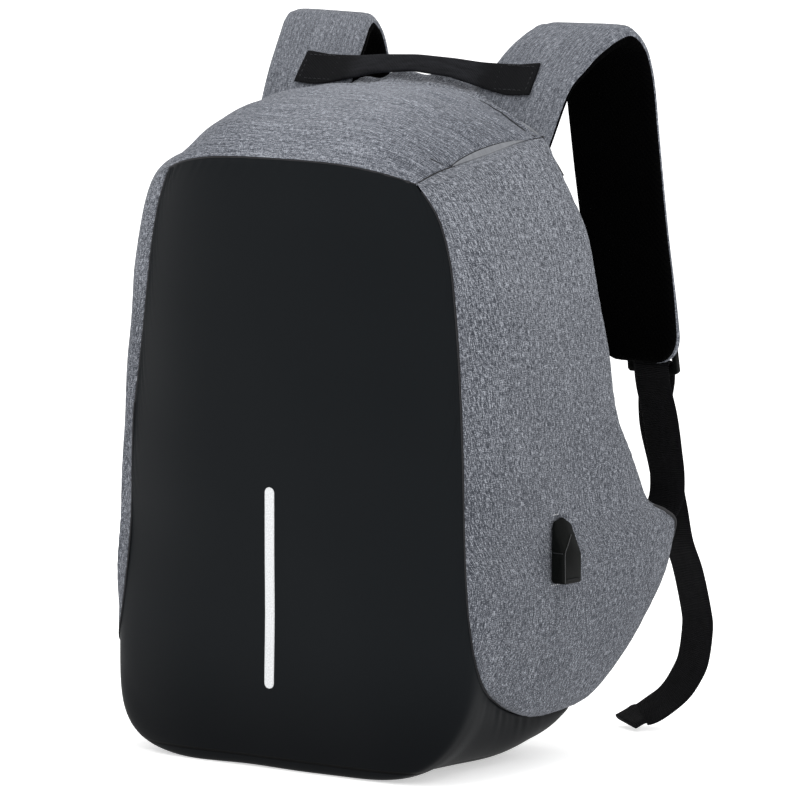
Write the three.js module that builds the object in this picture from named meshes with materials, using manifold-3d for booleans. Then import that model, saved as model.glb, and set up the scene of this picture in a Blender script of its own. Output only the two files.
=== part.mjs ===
/**
 * An anti-theft backpack that stands on its base.
 *
 * The front (-Y) is one smooth black panel that wraps under the bag and a hand's
 * breadth up its sides. Grey melange panels make the sides and the domed top. The
 * bag opens at the back, so its zip lies in a gusset behind the top's rear edge,
 * under a webbing handle that is sewn across the two shoulder straps.
 *
 * Millimetres, +Z up, +X to the side that carries the charging port. The origin is
 * the middle of the flat base, on the ground.
 */
import * as THREE from 'three';
import { mergeVertices } from 'three/addons/utils/BufferGeometryUtils.js';
import Module from 'manifold-3d';

const wasm = await Module();
wasm.setup();
const { Manifold, Mesh: SolidMesh } = wasm;

// Driving sizes
const bodyHeight = 450;
const bodyDepth = 250;
const bodyWidth = 280;
const panelWall = 3;
const seamGap = 0.4;
const seatGap = 0.3;
const baseSeamHeight = 8;

const strapWidth = 71;
const padThickness = 9;
const meshThickness = 2.4;
const meshMargin = 4;

const handleLength = 198;
const handleWidth = 25;
const handleFoldedWidth = 13;
const handleThickness = 2;
const handleLift = 6.5;

const webbingWidth = 29;
const webbingThickness = 1.8;
const hemLength = 13;

const buckleThickness = 4;
const buckleBar = 4;
const buckleRail = 4;
const buckleSlot = 8;
const buckleCorner = 1.5;
const tabReach = 22;

const stripWidth = 8;
const stripLength = 136;
const trimThickness = 1;
const tapeWidth = 6;

const portWidth = 21;
const portHeight = 44;
const portReach = 11;
const portCorner = 1.5;

const sliderSize = [9, 13, 3.5];
const pullerSize = [6, 20, 1.4];
const sliderSpacing = 40;

// Where things lie, as shares of the body's depth and height
const stripBottomHeight = 0.122;
const handleHeight = 1.015;
const portPlace = [0.098, 0.284];
const zipPlace = [0.365, 0.999];
const zipTilt = -0.35;

// How far the hood over the port slopes down from its top, from front to rear, as a
// share of its height
const portTopDrops = [0.12, 0.05, 0, 0.12, 0.20];

// How far the buckle's lowest bar lies past the pad's end, how far past that bar the
// webbing still runs straight, and how the tail turns
const barLow = 4;
const webbingLead = 14;
const tailTwist = 0.14;

// The wrap row at the foot of the front, and the number of rows in the gusset
const wrapFold = 5;
const gussetRows = 5;

/**
 * The body is four bands of cloth between two side panels. Each row is one line
 * across the body, from side seam to side seam:
 * [seam depth, seam height, seam half width, middle depth, middle height, power, ease]
 * as shares of bodyDepth, bodyHeight and bodyWidth / 2. Power says how far out the
 * line stays full, and an ease under 1 turns it round steeply at the seam.
 */
const wrapRows = [
  [0.376, 0.089, 0.890, 0.404, 0.055, 2.4, 0.85],
  [0.300, 0.078, 0.907, 0.288, 0.003, 3.0, 0.60],
  [0.196, 0.076, 0.925, 0.192, -0.004, 3.6, 0.52],
  [0.088, 0.080, 0.943, 0.072, -0.004, 5.0, 0.50],
  [-0.020, 0.096, 0.971, -0.060, -0.004, 5.0, 0.50],
  [-0.117, 0.120, 1.010, -0.200, -0.004, 5.0, 0.50],
  [-0.181, 0.140, 1.050, -0.304, -0.002, 6.0, 0.50],
  [-0.222, 0.164, 1.070, -0.346, 0.009, 6.0, 0.50],
  [-0.247, 0.204, 1.066, -0.354, 0.060, 5.0, 0.66],
  [-0.258, 0.273, 1.048, -0.352, 0.178, 3.6, 0.90],
  [-0.250, 0.367, 1.020, -0.352, 0.333, 2.8, 1.00],
  [-0.241, 0.500, 0.995, -0.348, 0.489, 2.6, 1.00],
  [-0.228, 0.622, 0.957, -0.336, 0.633, 2.6, 1.00],
  [-0.224, 0.722, 0.921, -0.324, 0.744, 2.6, 1.00],
  [-0.224, 0.778, 0.893, -0.320, 0.811, 2.6, 1.00],
  [-0.232, 0.836, 0.836, -0.320, 0.867, 2.8, 1.00],
  [-0.256, 0.884, 0.743, -0.316, 0.911, 3.2, 1.00],
];
const topRows = [
  [-0.256, 0.884, 0.743, -0.316, 0.911, 3.2, 1],
  [-0.176, 0.898, 0.760, -0.272, 0.949, 3.6, 1],
  [-0.088, 0.907, 0.778, -0.176, 0.978, 3.7, 1],
  [0.024, 0.918, 0.800, -0.036, 0.998, 3.4, 1],
  [0.136, 0.930, 0.822, 0.112, 1.004, 2.8, 1],
  [0.244, 0.936, 0.836, 0.252, 1.003, 2.2, 1],
];
const rearRows = [
  [0.244, 0.936, 0.836, 0.252, 1.003, 2.2, 1],
  [0.232, 0.912, 0.892, 0.300, 0.998, 2.4, 1],
  [0.240, 0.876, 0.950, 0.354, 1.001, 2.2, 1],
  [0.264, 0.833, 0.986, 0.384, 0.940, 3.0, 1],
  [0.296, 0.787, 1.000, 0.380, 0.850, 4.0, 1],
  [0.328, 0.696, 1.036, 0.396, 0.700, 4.0, 1],
  [0.364, 0.604, 1.057, 0.412, 0.596, 4.0, 1],
  [0.394, 0.513, 1.079, 0.428, 0.507, 4.0, 1],
  [0.436, 0.466, 1.086, 0.438, 0.462, 5.0, 1],
  [0.484, 0.418, 1.093, 0.444, 0.418, 7.0, 1],
  [0.530, 0.381, 1.093, 0.448, 0.382, 9.0, 1],
  [0.620, 0.361, 1.086, 0.452, 0.356, 10.0, 1],
  [0.674, 0.340, 1.079, 0.452, 0.335, 10.0, 1],
  [0.660, 0.300, 1.064, 0.448, 0.300, 10.0, 1],
  [0.632, 0.264, 1.050, 0.444, 0.264, 9.0, 1],
  [0.588, 0.227, 1.036, 0.440, 0.227, 7.0, 1],
  [0.526, 0.182, 1.014, 0.432, 0.182, 5.0, 1],
  [0.455, 0.142, 0.979, 0.420, 0.138, 4.0, 1],
  [0.402, 0.107, 0.929, 0.412, 0.089, 3.0, 0.9],
  [0.376, 0.089, 0.890, 0.404, 0.055, 2.4, 0.85],
];
// The stuffed side: [height, half width of its fullest line], as the same shares
const sideFullness = [
  [0.10, 1.090],
  [0.22, 1.135],
  [0.34, 1.128],
  [0.46, 1.140],
  [0.60, 1.136],
  [0.72, 1.110],
  [0.82, 1.060],
  [0.92, 0.990],
];
const sideRoundness = 3.2;

const acrossSteps = 10;
const alongSteps = 18;
const bandSteps = 7;

// The face of a shoulder strap that meets the air, from inside the gusset over the
// crest to the pad's end: [depth, height, half width of the outer edge, width share]
const strapRows = [
  [0.208, 0.898, 0.864, 1.00],
  [0.230, 0.931, 0.882, 1.00],
  [0.298, 1.007, 0.907, 1.00],
  [0.344, 1.038, 0.936, 1.00],
  [0.384, 1.061, 0.961, 1.00],
  [0.442, 1.084, 1.004, 1.00],
  [0.496, 1.091, 1.032, 1.00],
  [0.552, 1.070, 1.043, 0.99],
  [0.584, 1.038, 1.046, 0.98],
  [0.604, 1.000, 1.046, 0.97],
  [0.616, 0.947, 1.050, 0.96],
  [0.640, 0.864, 1.050, 0.95],
  [0.666, 0.771, 1.054, 0.93],
  [0.696, 0.678, 1.061, 0.91],
  [0.716, 0.600, 1.064, 0.87],
  [0.724, 0.576, 1.043, 0.74],
];
const strapSteps = 26;

// The webbing below the buckle: [depth, height, half width of its middle]
const anchorRows = [
  [0.448, 0.306, 0.850],
  [0.540, 0.306, 0.870],
  [0.630, 0.313, 0.900],
  [0.700, 0.334, 0.925],
  [0.738, 0.364, 0.945],
  [0.746, 0.400, 0.943],
  [0.746, 0.440, 0.922],
  [0.748, 0.490, 0.885],
];
const tailRows = [
  [0.774, 0.480, 0.857],
  [0.776, 0.420, 0.900],
  [0.778, 0.355, 0.935],
  [0.785, 0.304, 0.957],
  [0.822, 0.253, 0.974],
  [0.862, 0.182, 0.980],
  [0.868, 0.156, 0.978],
  [0.866, 0.111, 0.958],
  [0.858, 0.086, 0.930],
  [0.842, 0.060, 0.885],
  [0.818, 0.038, 0.822],
  [0.792, 0.020, 0.735],
  [0.752, 0.009, 0.695],
];

const halfWidth = bodyWidth / 2;
const vec = (x, y, z) => new THREE.Vector3(x, y, z);
const mix = (a, b, t) => a + (b - a) * t;

// Curves through the tables

/** A smooth curve through a table's rows: at(t) gives every column for t from 0 to 1. */
function curveThrough(rows, spacing) {
  const knots = [0];
  for (let k = 1; k < rows.length; k += 1) {
    knots.push(knots[k - 1] + Math.sqrt(spacing(rows[k - 1], rows[k])));
  }
  const total = knots.at(-1);
  const slope = (k, c) => {
    const before = Math.max(k - 1, 0);
    const after = Math.min(k + 1, rows.length - 1);
    return (rows[after][c] - rows[before][c]) / (knots[after] - knots[before]);
  };
  const at = (t) => {
    const place = Math.min(Math.max(t, 0), 1) * total;
    let k = 0;
    while (k < rows.length - 2 && place > knots[k + 1]) k += 1;
    const span = knots[k + 1] - knots[k];
    const s = (place - knots[k]) / span;
    const rise = s * s * (3 - 2 * s);
    return rows[k].map((value, c) => (
      mix(value, rows[k + 1][c], rise)
      + span * (slope(k, c) * s * (1 - s) ** 2 - slope(k + 1, c) * s * s * (1 - s))
    ));
  };
  return { at, share: (k) => knots[k] / total };
}

const bandSpacing = (a, b) => (
  Math.hypot((b[0] - a[0]) * bodyDepth, (b[1] - a[1]) * bodyHeight)
  + Math.hypot((b[3] - a[3]) * bodyDepth, (b[4] - a[4]) * bodyHeight)
);
const pathSpacing = (a, b) => Math.hypot((b[0] - a[0]) * bodyDepth, (b[1] - a[1]) * bodyHeight);

/** Shares from start to end that lie closer together near both ends. */
function spread(start, end, steps) {
  return Array.from({ length: steps + 1 }, (_, k) => {
    const even = k / steps;
    return mix(start, end, mix(even, (1 - Math.cos(Math.PI * even)) / 2, 0.5));
  });
}

/** One point of a band: x runs with s, depth and height swell from the seam to the middle. */
function bandPoint(row, s) {
  const [seamDepth, seamHeight, seamHalf, middleDepth, middleHeight, power, ease] = row;
  const swell = (1 - Math.abs(s) ** power) ** ease;
  return vec(
    seamHalf * halfWidth * s,
    mix(seamDepth, middleDepth, swell) * bodyDepth,
    Math.max(mix(seamHeight, middleHeight, swell) * bodyHeight, 0),
  );
}

const acrossBand = Array.from({ length: 2 * bandSteps + 1 }, (_, k) => (
  Math.sin((Math.PI / 2) * (k / bandSteps - 1))
));
const bandGrid = (rows) => rows.map((row) => acrossBand.map((s) => bandPoint(row, s)));

// Body panels

const wrapCurve = curveThrough(wrapRows, bandSpacing);
const topCurve = curveThrough(topRows, bandSpacing);
const rearCurve = curveThrough(rearRows, bandSpacing);
const foldShare = wrapCurve.share(wrapFold);

const underSamples = spread(0, foldShare, acrossSteps).map(wrapCurve.at);
const frontSamples = spread(foldShare, 1, alongSteps).map(wrapCurve.at);
const topSamples = spread(0, 1, acrossSteps).map(topCurve.at);
const rearSamples = spread(0, 1, alongSteps).map(rearCurve.at);

/** A side panel: a patch between four seams, swollen towards its fullest line. */
function sideGrid() {
  const bottom = underSamples.map((row) => bandPoint(row, 1)).reverse();
  const top = topSamples.map((row) => bandPoint(row, 1));
  const front = frontSamples.map((row) => bandPoint(row, 1));
  const rear = rearSamples.map((row) => bandPoint(row, 1)).reverse();
  const round = (t) => (1 - Math.abs(2 * t - 1) ** sideRoundness) ** (1 / sideRoundness);
  const uShares = spread(0, 1, acrossSteps);
  const vShares = spread(0, 1, alongSteps);
  const full = (height) => {
    const share = height / bodyHeight;
    let k = 0;
    while (k < sideFullness.length - 2 && share > sideFullness[k + 1][0]) k += 1;
    const [low, lowHalf] = sideFullness[k];
    const [high, highHalf] = sideFullness[k + 1];
    return mix(lowHalf, highHalf, (share - low) / (high - low)) * halfWidth;
  };
  return uShares.map((u, i) => vShares.map((v, j) => {
    const point = vec(0, 0, 0)
      .addScaledVector(bottom[i], 1 - v)
      .addScaledVector(top[i], v)
      .addScaledVector(front[j], 1 - u)
      .addScaledVector(rear[j], u)
      .addScaledVector(bottom[0], -(1 - u) * (1 - v))
      .addScaledVector(bottom[acrossSteps], -u * (1 - v))
      .addScaledVector(top[0], -(1 - u) * v)
      .addScaledVector(top[acrossSteps], -u * v);
    const swell = round(u) * round(v);
    point.x = mix(point.x, Math.max(full(point.z), point.x), swell);
    return point;
  }));
}

const mirrorGrid = (grid) => grid.map((line) => line.map((p) => vec(-p.x, p.y, p.z)));

const rightSide = sideGrid();
const bandPanel = (rows) => ({ grid: bandGrid(rows), flip: false, middle: bandSteps });
const panels = {
  wrap: bandPanel([...underSamples, ...frontSamples.slice(1)]),
  top_panel: bandPanel(topSamples),
  rear_gusset: bandPanel(rearSamples.slice(0, gussetRows)),
  back_panel: bandPanel(rearSamples.slice(gussetRows - 1)),
  side_panel_right: { grid: rightSide, flip: true, middle: 0 },
  side_panel_left: { grid: mirrorGrid(rightSide), flip: false, middle: 0 },
};

/** Outward normals at every point of a grid, from its neighbours. */
function gridNormals({ grid, flip }) {
  const rows = grid.length - 1;
  const columns = grid[0].length - 1;
  return grid.map((line, i) => line.map((_, j) => {
    const along = grid[Math.min(i + 1, rows)][j].clone().sub(grid[Math.max(i - 1, 0)][j]);
    const across = grid[i][Math.min(j + 1, columns)].clone().sub(grid[i][Math.max(j - 1, 0)]);
    const normal = across.cross(along).normalize();
    return flip ? normal.negate() : normal;
  }));
}

const placeKey = (p) => [p.x, p.y, p.z].map((value) => value.toFixed(3)).join(' ');

/** For every point of the skin, the normals of the panels that meet there. */
function meetingNormals() {
  const meeting = new Map();
  for (const panel of Object.values(panels)) {
    panel.normals = gridNormals(panel);
    panel.grid.forEach((line, i) => line.forEach((p, j) => {
      const key = placeKey(p);
      if (!meeting.has(key)) meeting.set(key, []);
      meeting.get(key).push(panel.normals[i][j]);
    }));
  }
  return meeting;
}
const meeting = meetingNormals();

/** Moves a skin point so that it lies `distance` off every panel that meets there. */
function offsetPoint(p, distance) {
  const normals = meeting.get(placeKey(p));
  const move = vec(0, 0, 0);
  for (let turn = 0; turn < 60; turn += 1) {
    for (const n of normals) move.addScaledVector(n, distance - move.dot(n));
  }
  move.clampLength(0, 2.2 * Math.abs(distance));
  return p.clone().add(move);
}

/** Draws each edge point of a panel in by half the seam gap, towards its neighbours. */
function drawnIn({ grid }, i, j) {
  const rows = grid.length - 1;
  const columns = grid[0].length - 1;
  const pull = vec(0, 0, 0);
  const towards = (k, l) => {
    pull.add(grid[k][l].clone().sub(grid[i][j]).setLength(seamGap / 2));
  };
  if (i === 0) towards(1, j);
  if (i === rows) towards(rows - 1, j);
  if (j === 0) towards(i, 1);
  if (j === columns) towards(i, columns - 1);
  return pull;
}

// Meshes from points

function meshFrom(triangles) {
  const geometry = new THREE.BufferGeometry();
  const numbers = triangles.flatMap((corner) => [corner.x, corner.y, corner.z]);
  geometry.setAttribute('position', new THREE.Float32BufferAttribute(numbers, 3));
  return mergeVertices(geometry, 1e-4);
}

/** Two triangles for every cell of a grid; cells left of the middle are split the other way. */
function gridTriangles(grid, flip, middle) {
  const triangles = [];
  for (let i = 0; i + 1 < grid.length; i += 1) {
    for (let j = 0; j + 1 < grid[i].length; j += 1) {
      const corners = [grid[i][j], grid[i + 1][j], grid[i + 1][j + 1], grid[i][j + 1]];
      if (j < middle) corners.push(corners.shift());
      const [a, b, c, d] = corners;
      triangles.push(...(flip ? [a, b, c, a, c, d] : [a, c, b, a, d, c]));
    }
  }
  return triangles;
}

/** A closed sheet between an outer and an inner grid of the same size. */
function sheetBetween(outer, inner, flip, middle) {
  const triangles = [
    ...gridTriangles(outer, flip, middle),
    ...gridTriangles(inner, !flip, middle),
  ];
  const lastRow = outer.length - 1;
  const lastColumn = outer[0].length - 1;
  const edge = [
    ...outer[0].map((_, j) => [0, j]),
    ...outer.slice(1).map((_, i) => [i + 1, lastColumn]),
    ...outer[0].slice(1).map((_, j) => [lastRow, lastColumn - 1 - j]),
    ...outer.slice(1).map((_, i) => [lastRow - 1 - i, 0]),
  ];
  // Both sheets at a seam split its edge the same way: from the outer corner that lies higher
  const rank = (p) => p.z + 0.3 * p.y + 0.1 * Math.abs(p.x);
  for (let k = 0; k + 1 < edge.length; k += 1) {
    const [a, b] = [edge[k], edge[k + 1]].map(([i, j]) => outer[i][j]);
    const [c, d] = [edge[k], edge[k + 1]].map(([i, j]) => inner[i][j]);
    const split = rank(a) > rank(b) ? [a, c, d, a, d, b] : [a, c, b, b, c, d];
    triangles.push(...(flip ? split.reverse() : split));
  }
  return meshFrom(triangles);
}

function panelSheet(panel) {
  const outer = panel.grid.map((line, i) => line.map((p, j) => (
    p.clone().add(drawnIn(panel, i, j))
  )));
  const inner = panel.grid.map((line, i) => line.map((p, j) => (
    offsetPoint(p, -panelWall).add(drawnIn(panel, i, j))
  )));
  return sheetBetween(outer, inner, panel.flip, panel.middle);
}

/** The whole closed outside of the body, moved out by a distance. */
function bodySkin(distance) {
  const triangles = Object.values(panels).flatMap(({ grid, flip, middle }) => (
    gridTriangles(grid.map((line) => line.map((p) => offsetPoint(p, distance))), flip, middle)
  ));
  return meshFrom(triangles);
}

/** A closed solid through closed outlines of the same number of points. */
function loft(outlines) {
  const triangles = [];
  const count = outlines[0].length;
  for (let k = 0; k + 1 < outlines.length; k += 1) {
    for (let i = 0; i < count; i += 1) {
      const next = (i + 1) % count;
      const [a, b] = [outlines[k][i], outlines[k][next]];
      const [c, d] = [outlines[k + 1][i], outlines[k + 1][next]];
      triangles.push(a, b, d, a, d, c);
    }
  }
  for (const [outline, turned] of [[outlines[0], true], [outlines.at(-1), false]]) {
    for (let i = 1; i + 1 < count; i += 1) {
      const [a, b, c] = [outline[0], outline[i], outline[i + 1]];
      triangles.push(...(turned ? [a, c, b] : [a, b, c]));
    }
  }
  return outwards(meshFrom(triangles));
}

/** Turns a closed mesh so that its faces point out. */
function outwards(geometry) {
  const { array } = geometry.attributes.position;
  const index = geometry.index.array;
  const corner = (k) => vec(array[3 * index[k]], array[3 * index[k] + 1], array[3 * index[k] + 2]);
  let volume = 0;
  for (let k = 0; k < index.length; k += 3) {
    volume += corner(k).dot(corner(k + 1).cross(corner(k + 2)));
  }
  if (volume < 0) index.reverse();
  return geometry;
}

// Joins and cuts

function toSolid(geometry) {
  const bare = geometry.clone();
  bare.deleteAttribute('normal');
  bare.deleteAttribute('uv');
  const merged = mergeVertices(bare, 1e-4);
  return new Manifold(new SolidMesh({
    numProp: 3,
    vertProperties: new Float32Array(merged.attributes.position.array),
    triVerts: new Uint32Array(merged.index.array),
  }));
}

function toGeometry(solid) {
  const { vertProperties, triVerts, numProp } = solid.getMesh();
  const geometry = new THREE.BufferGeometry();
  const places = [];
  for (let k = 0; k < vertProperties.length; k += numProp) {
    places.push(vertProperties[k], vertProperties[k + 1], vertProperties[k + 2]);
  }
  geometry.setAttribute('position', new THREE.Float32BufferAttribute(places, 3));
  geometry.setIndex([...triVerts]);
  return geometry;
}

function boxSolid(low, high) {
  const size = high.clone().sub(low);
  const box = new THREE.BoxGeometry(size.x, size.y, size.z);
  box.translate((low.x + high.x) / 2, (low.y + high.y) / 2, (low.z + high.z) / 2);
  return toSolid(box);
}

const mirrored = (geometry) => outwards(geometry.clone().scale(-1, 1, 1));

const seatSkin = toSolid(bodySkin(seatGap));
const trimSkin = toSolid(bodySkin(seatGap + trimThickness));
const trimShell = trimSkin.subtract(seatSkin);

// Materials

const finish = (color, roughness, metalness = 0) => (
  new THREE.MeshStandardMaterial({ color, roughness, metalness })
);
const melangeGrey = finish(0x80838c, 0.95);
const coatedBlack = finish(0x1d2022, 0.55);
const meshBlack = finish(0x0d0d0f, 0.95);
const webbingBlack = finish(0x101012, 0.85);
const mouldedBlack = finish(0x121315, 0.45);
const reflectiveGrey = finish(0xcfd0d2, 0.4);
const tapeGrey = finish(0x868a8e, 0.5);
const zipMetal = finish(0xb9bbbd, 0.3, 1);

const backpack = new THREE.Group();
backpack.name = 'anti_theft_backpack';

function addPiece(name, geometry, material) {
  const mesh = new THREE.Mesh(geometry, material);
  mesh.name = name;
  backpack.add(mesh);
}

// Bag

/** The black wrap is cut level a little above the ground, where the base is sewn in. */
function addWrap() {
  const wrap = toSolid(panelSheet(panels.wrap));
  const far = 2 * (bodyDepth + bodyWidth);
  const slab = (low, high) => boxSolid(vec(-far, -far, low), vec(far, far, high));
  const front = wrap.intersect(slab(baseSeamHeight + seamGap / 2, far));
  const base = wrap.intersect(slab(-far, baseSeamHeight - seamGap / 2));
  addPiece('front_panel', toGeometry(front), coatedBlack);
  addPiece('base_panel', toGeometry(base), coatedBlack);
}

function addBody() {
  addWrap();
  for (const name of ['top_panel', 'rear_gusset', 'side_panel_right', 'side_panel_left']) {
    addPiece(name, panelSheet(panels[name]), melangeGrey);
  }
  addPiece('back_panel', panelSheet(panels.back_panel), meshBlack);
}

/** A flat outline in (across, up), pushed through the body along one axis. */
function prism(outline, axis, from, to) {
  const shape = new THREE.Shape(outline.map(([a, b]) => new THREE.Vector2(a, b)));
  const geometry = new THREE.ExtrudeGeometry(shape, { depth: to - from, bevelEnabled: false });
  const basis = axis === 'x'
    ? new THREE.Matrix4().makeBasis(vec(0, 1, 0), vec(0, 0, 1), vec(1, 0, 0))
    : new THREE.Matrix4().makeBasis(vec(1, 0, 0), vec(0, 0, 1), vec(0, -1, 0));
  geometry.applyMatrix4(basis);
  geometry.translate(axis === 'x' ? from : 0, axis === 'x' ? 0 : to, 0);
  return toSolid(geometry);
}

/** The light strip down the middle of the front, with round ends. */
function addReflectiveStrip() {
  const radius = stripWidth / 2;
  const low = stripBottomHeight * bodyHeight + radius;
  const high = low + stripLength - stripWidth;
  const outline = [];
  const turns = 6;
  for (const [middle, start] of [[high, 0], [low, Math.PI]]) {
    for (let k = 0; k <= turns; k += 1) {
      const angle = start + (Math.PI * k) / turns;
      outline.push([radius * Math.cos(angle), middle + radius * Math.sin(angle)]);
    }
  }
  const strip = trimShell.intersect(prism(outline, 'y', -bodyDepth, 0));
  addPiece('reflective_strip', toGeometry(strip), reflectiveGrey);
}

/** A crescent of smooth tape under the rear half of each shoulder seam. */
function addShoulderTapes() {
  const seam = topSamples.map((row) => bandPoint(row, 1)).slice(3, -1);
  const below = seam.map((p, k) => {
    const width = tapeWidth * Math.sin((Math.PI * (k + 0.6)) / (seam.length + 0.2));
    return [p.y, p.z - seamGap - width];
  });
  const outline = [...seam.map((p) => [p.y, p.z - seamGap]), ...below.reverse()];
  const tape = toGeometry(trimShell.intersect(prism(outline, 'x', halfWidth / 2, 2 * halfWidth)));
  addPiece('shoulder_tape_right', tape, tapeGrey);
  addPiece('shoulder_tape_left', mirrored(tape), tapeGrey);
}

/** How far out the right side panel lies at a depth and height. */
function sideReach(depth, height) {
  const target = new THREE.Vector2(depth, height);
  let nearest = Infinity;
  let reach = 0;
  for (const p of rightSide.flat()) {
    const distance = target.distanceTo(new THREE.Vector2(p.y, p.z));
    if (distance < nearest) {
      nearest = distance;
      reach = p.x;
    }
  }
  return reach;
}

/** A moulded hood over the charging socket: square below, sloping into the cloth above. */
function addPort() {
  const depth = portPlace[0] * bodyDepth;
  const low = portPlace[1] * bodyHeight;
  const high = low + portHeight;
  const face = sideReach(depth, low + portHeight / 4) + portReach;
  const inside = face - 3 * portReach;
  const profile = (shrink, top) => [
    [inside, low + shrink],
    [face - shrink, low + shrink],
    [face - shrink, mix(low, top, 0.5)],
    [face - portReach * 0.75, top - shrink],
    [inside, top - shrink],
  ];
  const places = [
    [-portWidth / 2, portCorner],
    [-portWidth / 2 + portCorner, 0],
    [0, 0],
    [portWidth / 2 - portCorner, 0],
    [portWidth / 2, portCorner],
  ];
  const outlines = places.map(([side, shrink], k) => (
    profile(shrink, high - portTopDrops[k] * portHeight)
      .map(([x, z]) => vec(x, depth + side, z))
  ));
  const hood = toSolid(loft(outlines)).subtract(seatSkin);
  addPiece('usb_port_cover', toGeometry(hood), mouldedBlack);
}

// Shoulder straps

const strapCurve = curveThrough(strapRows, pathSpacing);

/** Where the strap's outer face runs at share t, with its direction and outward normal. */
function strapStation(t) {
  const [depth, height, half, width] = strapCurve.at(t);
  const step = 1e-3;
  const before = strapCurve.at(Math.max(t - step, 0));
  const after = strapCurve.at(Math.min(t + step, 1));
  const down = vec(
    0,
    (after[0] - before[0]) * bodyDepth,
    (after[1] - before[1]) * bodyHeight,
  ).normalize();
  const out = vec(0, -down.z, down.y);
  return {
    face: vec(0, depth * bodyDepth, height * bodyHeight),
    down,
    out,
    outer: half * halfWidth,
    inner: half * halfWidth - strapWidth * width,
  };
}

/** Outlines of a layer of the strap, from one depth under its face to another. */
function strapLayer(fromFace, thickness, margin, endMargin) {
  const shares = Array.from({ length: strapSteps + 1 }, (_, k) => (
    mix(0, 1 - endMargin, k / strapSteps)
  ));
  return loft(shares.map((t) => {
    const { face, out, outer, inner } = strapStation(t);
    const low = inner + margin;
    const high = outer - margin;
    const soft = thickness * 0.4;
    const corners = [
      [low, thickness - soft], [low, soft], [low + soft, 0],
      [high - soft, 0], [high, soft], [high, thickness - soft],
      [high - soft, thickness], [low + soft, thickness],
    ];
    return corners.map(([x, depth]) => (
      face.clone().addScaledVector(out, -fromFace - depth).setX(x)
    ));
  }));
}

function addStraps() {
  const pad = toSolid(strapLayer(0, padThickness, 0, 0)).subtract(seatSkin);
  const mesh = toSolid(
    strapLayer(padThickness + seatGap, meshThickness, meshMargin, 0.012),
  ).subtract(seatSkin);
  const whole = (solid) => solid.decompose().sort((a, b) => b.volume() - a.volume())[0];
  const padRight = toGeometry(whole(pad));
  const meshRight = toGeometry(whole(mesh));
  addPiece('strap_pad_right', padRight, melangeGrey);
  addPiece('strap_pad_left', mirrored(padRight), melangeGrey);
  addPiece('strap_mesh_right', meshRight, meshBlack);
  addPiece('strap_mesh_left', mirrored(meshRight), meshBlack);
}

/** A flat band through stations of { middle, side, width, thickness }. */
function band(stations) {
  return loft(stations.map(({ middle, side, width, thickness }, k) => {
    const before = stations[Math.max(k - 1, 0)].middle;
    const after = stations[Math.min(k + 1, stations.length - 1)].middle;
    const along = after.clone().sub(before).normalize();
    const lateral = side.clone().addScaledVector(along, -side.dot(along)).normalize();
    const normal = along.clone().cross(lateral);
    const corners = [[-1, -1], [1, -1], [1, 1], [-1, 1]];
    return corners.map(([a, b]) => (
      middle.clone()
        .addScaledVector(lateral, (a * width) / 2)
        .addScaledVector(normal, (b * thickness) / 2)
    ));
  }));
}

// Handle

/** Flat ends sewn on the straps' faces, folded narrow and lifted a little between them. */
function addHandle() {
  let seat = strapStation(0);
  for (let t = 0; t < 0.5; t += 0.002) {
    const station = strapStation(t);
    if (station.face.z < handleHeight * bodyHeight) seat = station;
  }
  const endMiddle = seat.face.clone().addScaledVector(seat.out, seatGap + handleThickness / 2);
  const free = (seat.inner * 2) / handleLength;
  // [share of the half length, share of the lift, how flat it lies, layers of webbing]
  const rows = [
    [1, 0, 1, 1],
    [free + 0.06, 0, 1, 1],
    [free - 0.06, 0.35, 0.7, 1.5],
    [free - 0.2, 0.75, 0, 2],
    [0, 1, 0, 2],
  ];
  const half = rows.map(([reach, lift, flat, layers]) => ({
    middle: endMiddle.clone()
      .addScaledVector(seat.out, (layers - 1) * handleThickness / 2)
      .add(vec((reach * handleLength) / 2, 0, lift * handleLift)),
    side: seat.down,
    width: mix(handleFoldedWidth, handleWidth, flat),
    thickness: handleThickness * layers,
  }));
  const other = half.slice(0, -1).reverse().map((station) => ({
    ...station,
    middle: station.middle.clone().setX(-station.middle.x),
  }));
  addPiece('handle', band([...half, ...other]), webbingBlack);
}

// Buckle and webbing

const buckleMiddle = (strapStation(0.97).outer + strapStation(0.97).inner) / 2;
const bucklePlane = seatGap + webbingThickness + seatGap + buckleThickness / 2;
const buckleTop = barLow - 2 * buckleSlot - 2 * buckleBar;

/** The strap's station this far up its face from the pad's end. */
function faceBack(distance) {
  let walked = 0;
  let station = strapStation(1);
  for (let t = 1; t > 0 && walked < distance; t -= 0.002) {
    const next = strapStation(t);
    walked += next.face.distanceTo(station.face);
    station = next;
  }
  return station;
}

/** The buckle lies along the last of the pad's face. */
function padEndFrame() {
  const end = strapStation(1).face;
  const down = end.clone().sub(faceBack(-buckleTop).face).normalize();
  return { face: end, down, out: vec(0, -down.z, down.y) };
}
const padEnd = padEndFrame();

/** A point by the pad's end: along the strap past its end, and out from its face. */
function nearPadEnd(along, outOf) {
  return padEnd.face.clone()
    .addScaledVector(padEnd.down, along)
    .addScaledVector(padEnd.out, outOf)
    .setX(buckleMiddle);
}

/** A point on the pad's face: this far up from its end, and out from the face. */
function onPadFace(back, outOf) {
  const { face, out } = faceBack(back);
  return face.clone().addScaledVector(out, outOf).setX(buckleMiddle);
}

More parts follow.
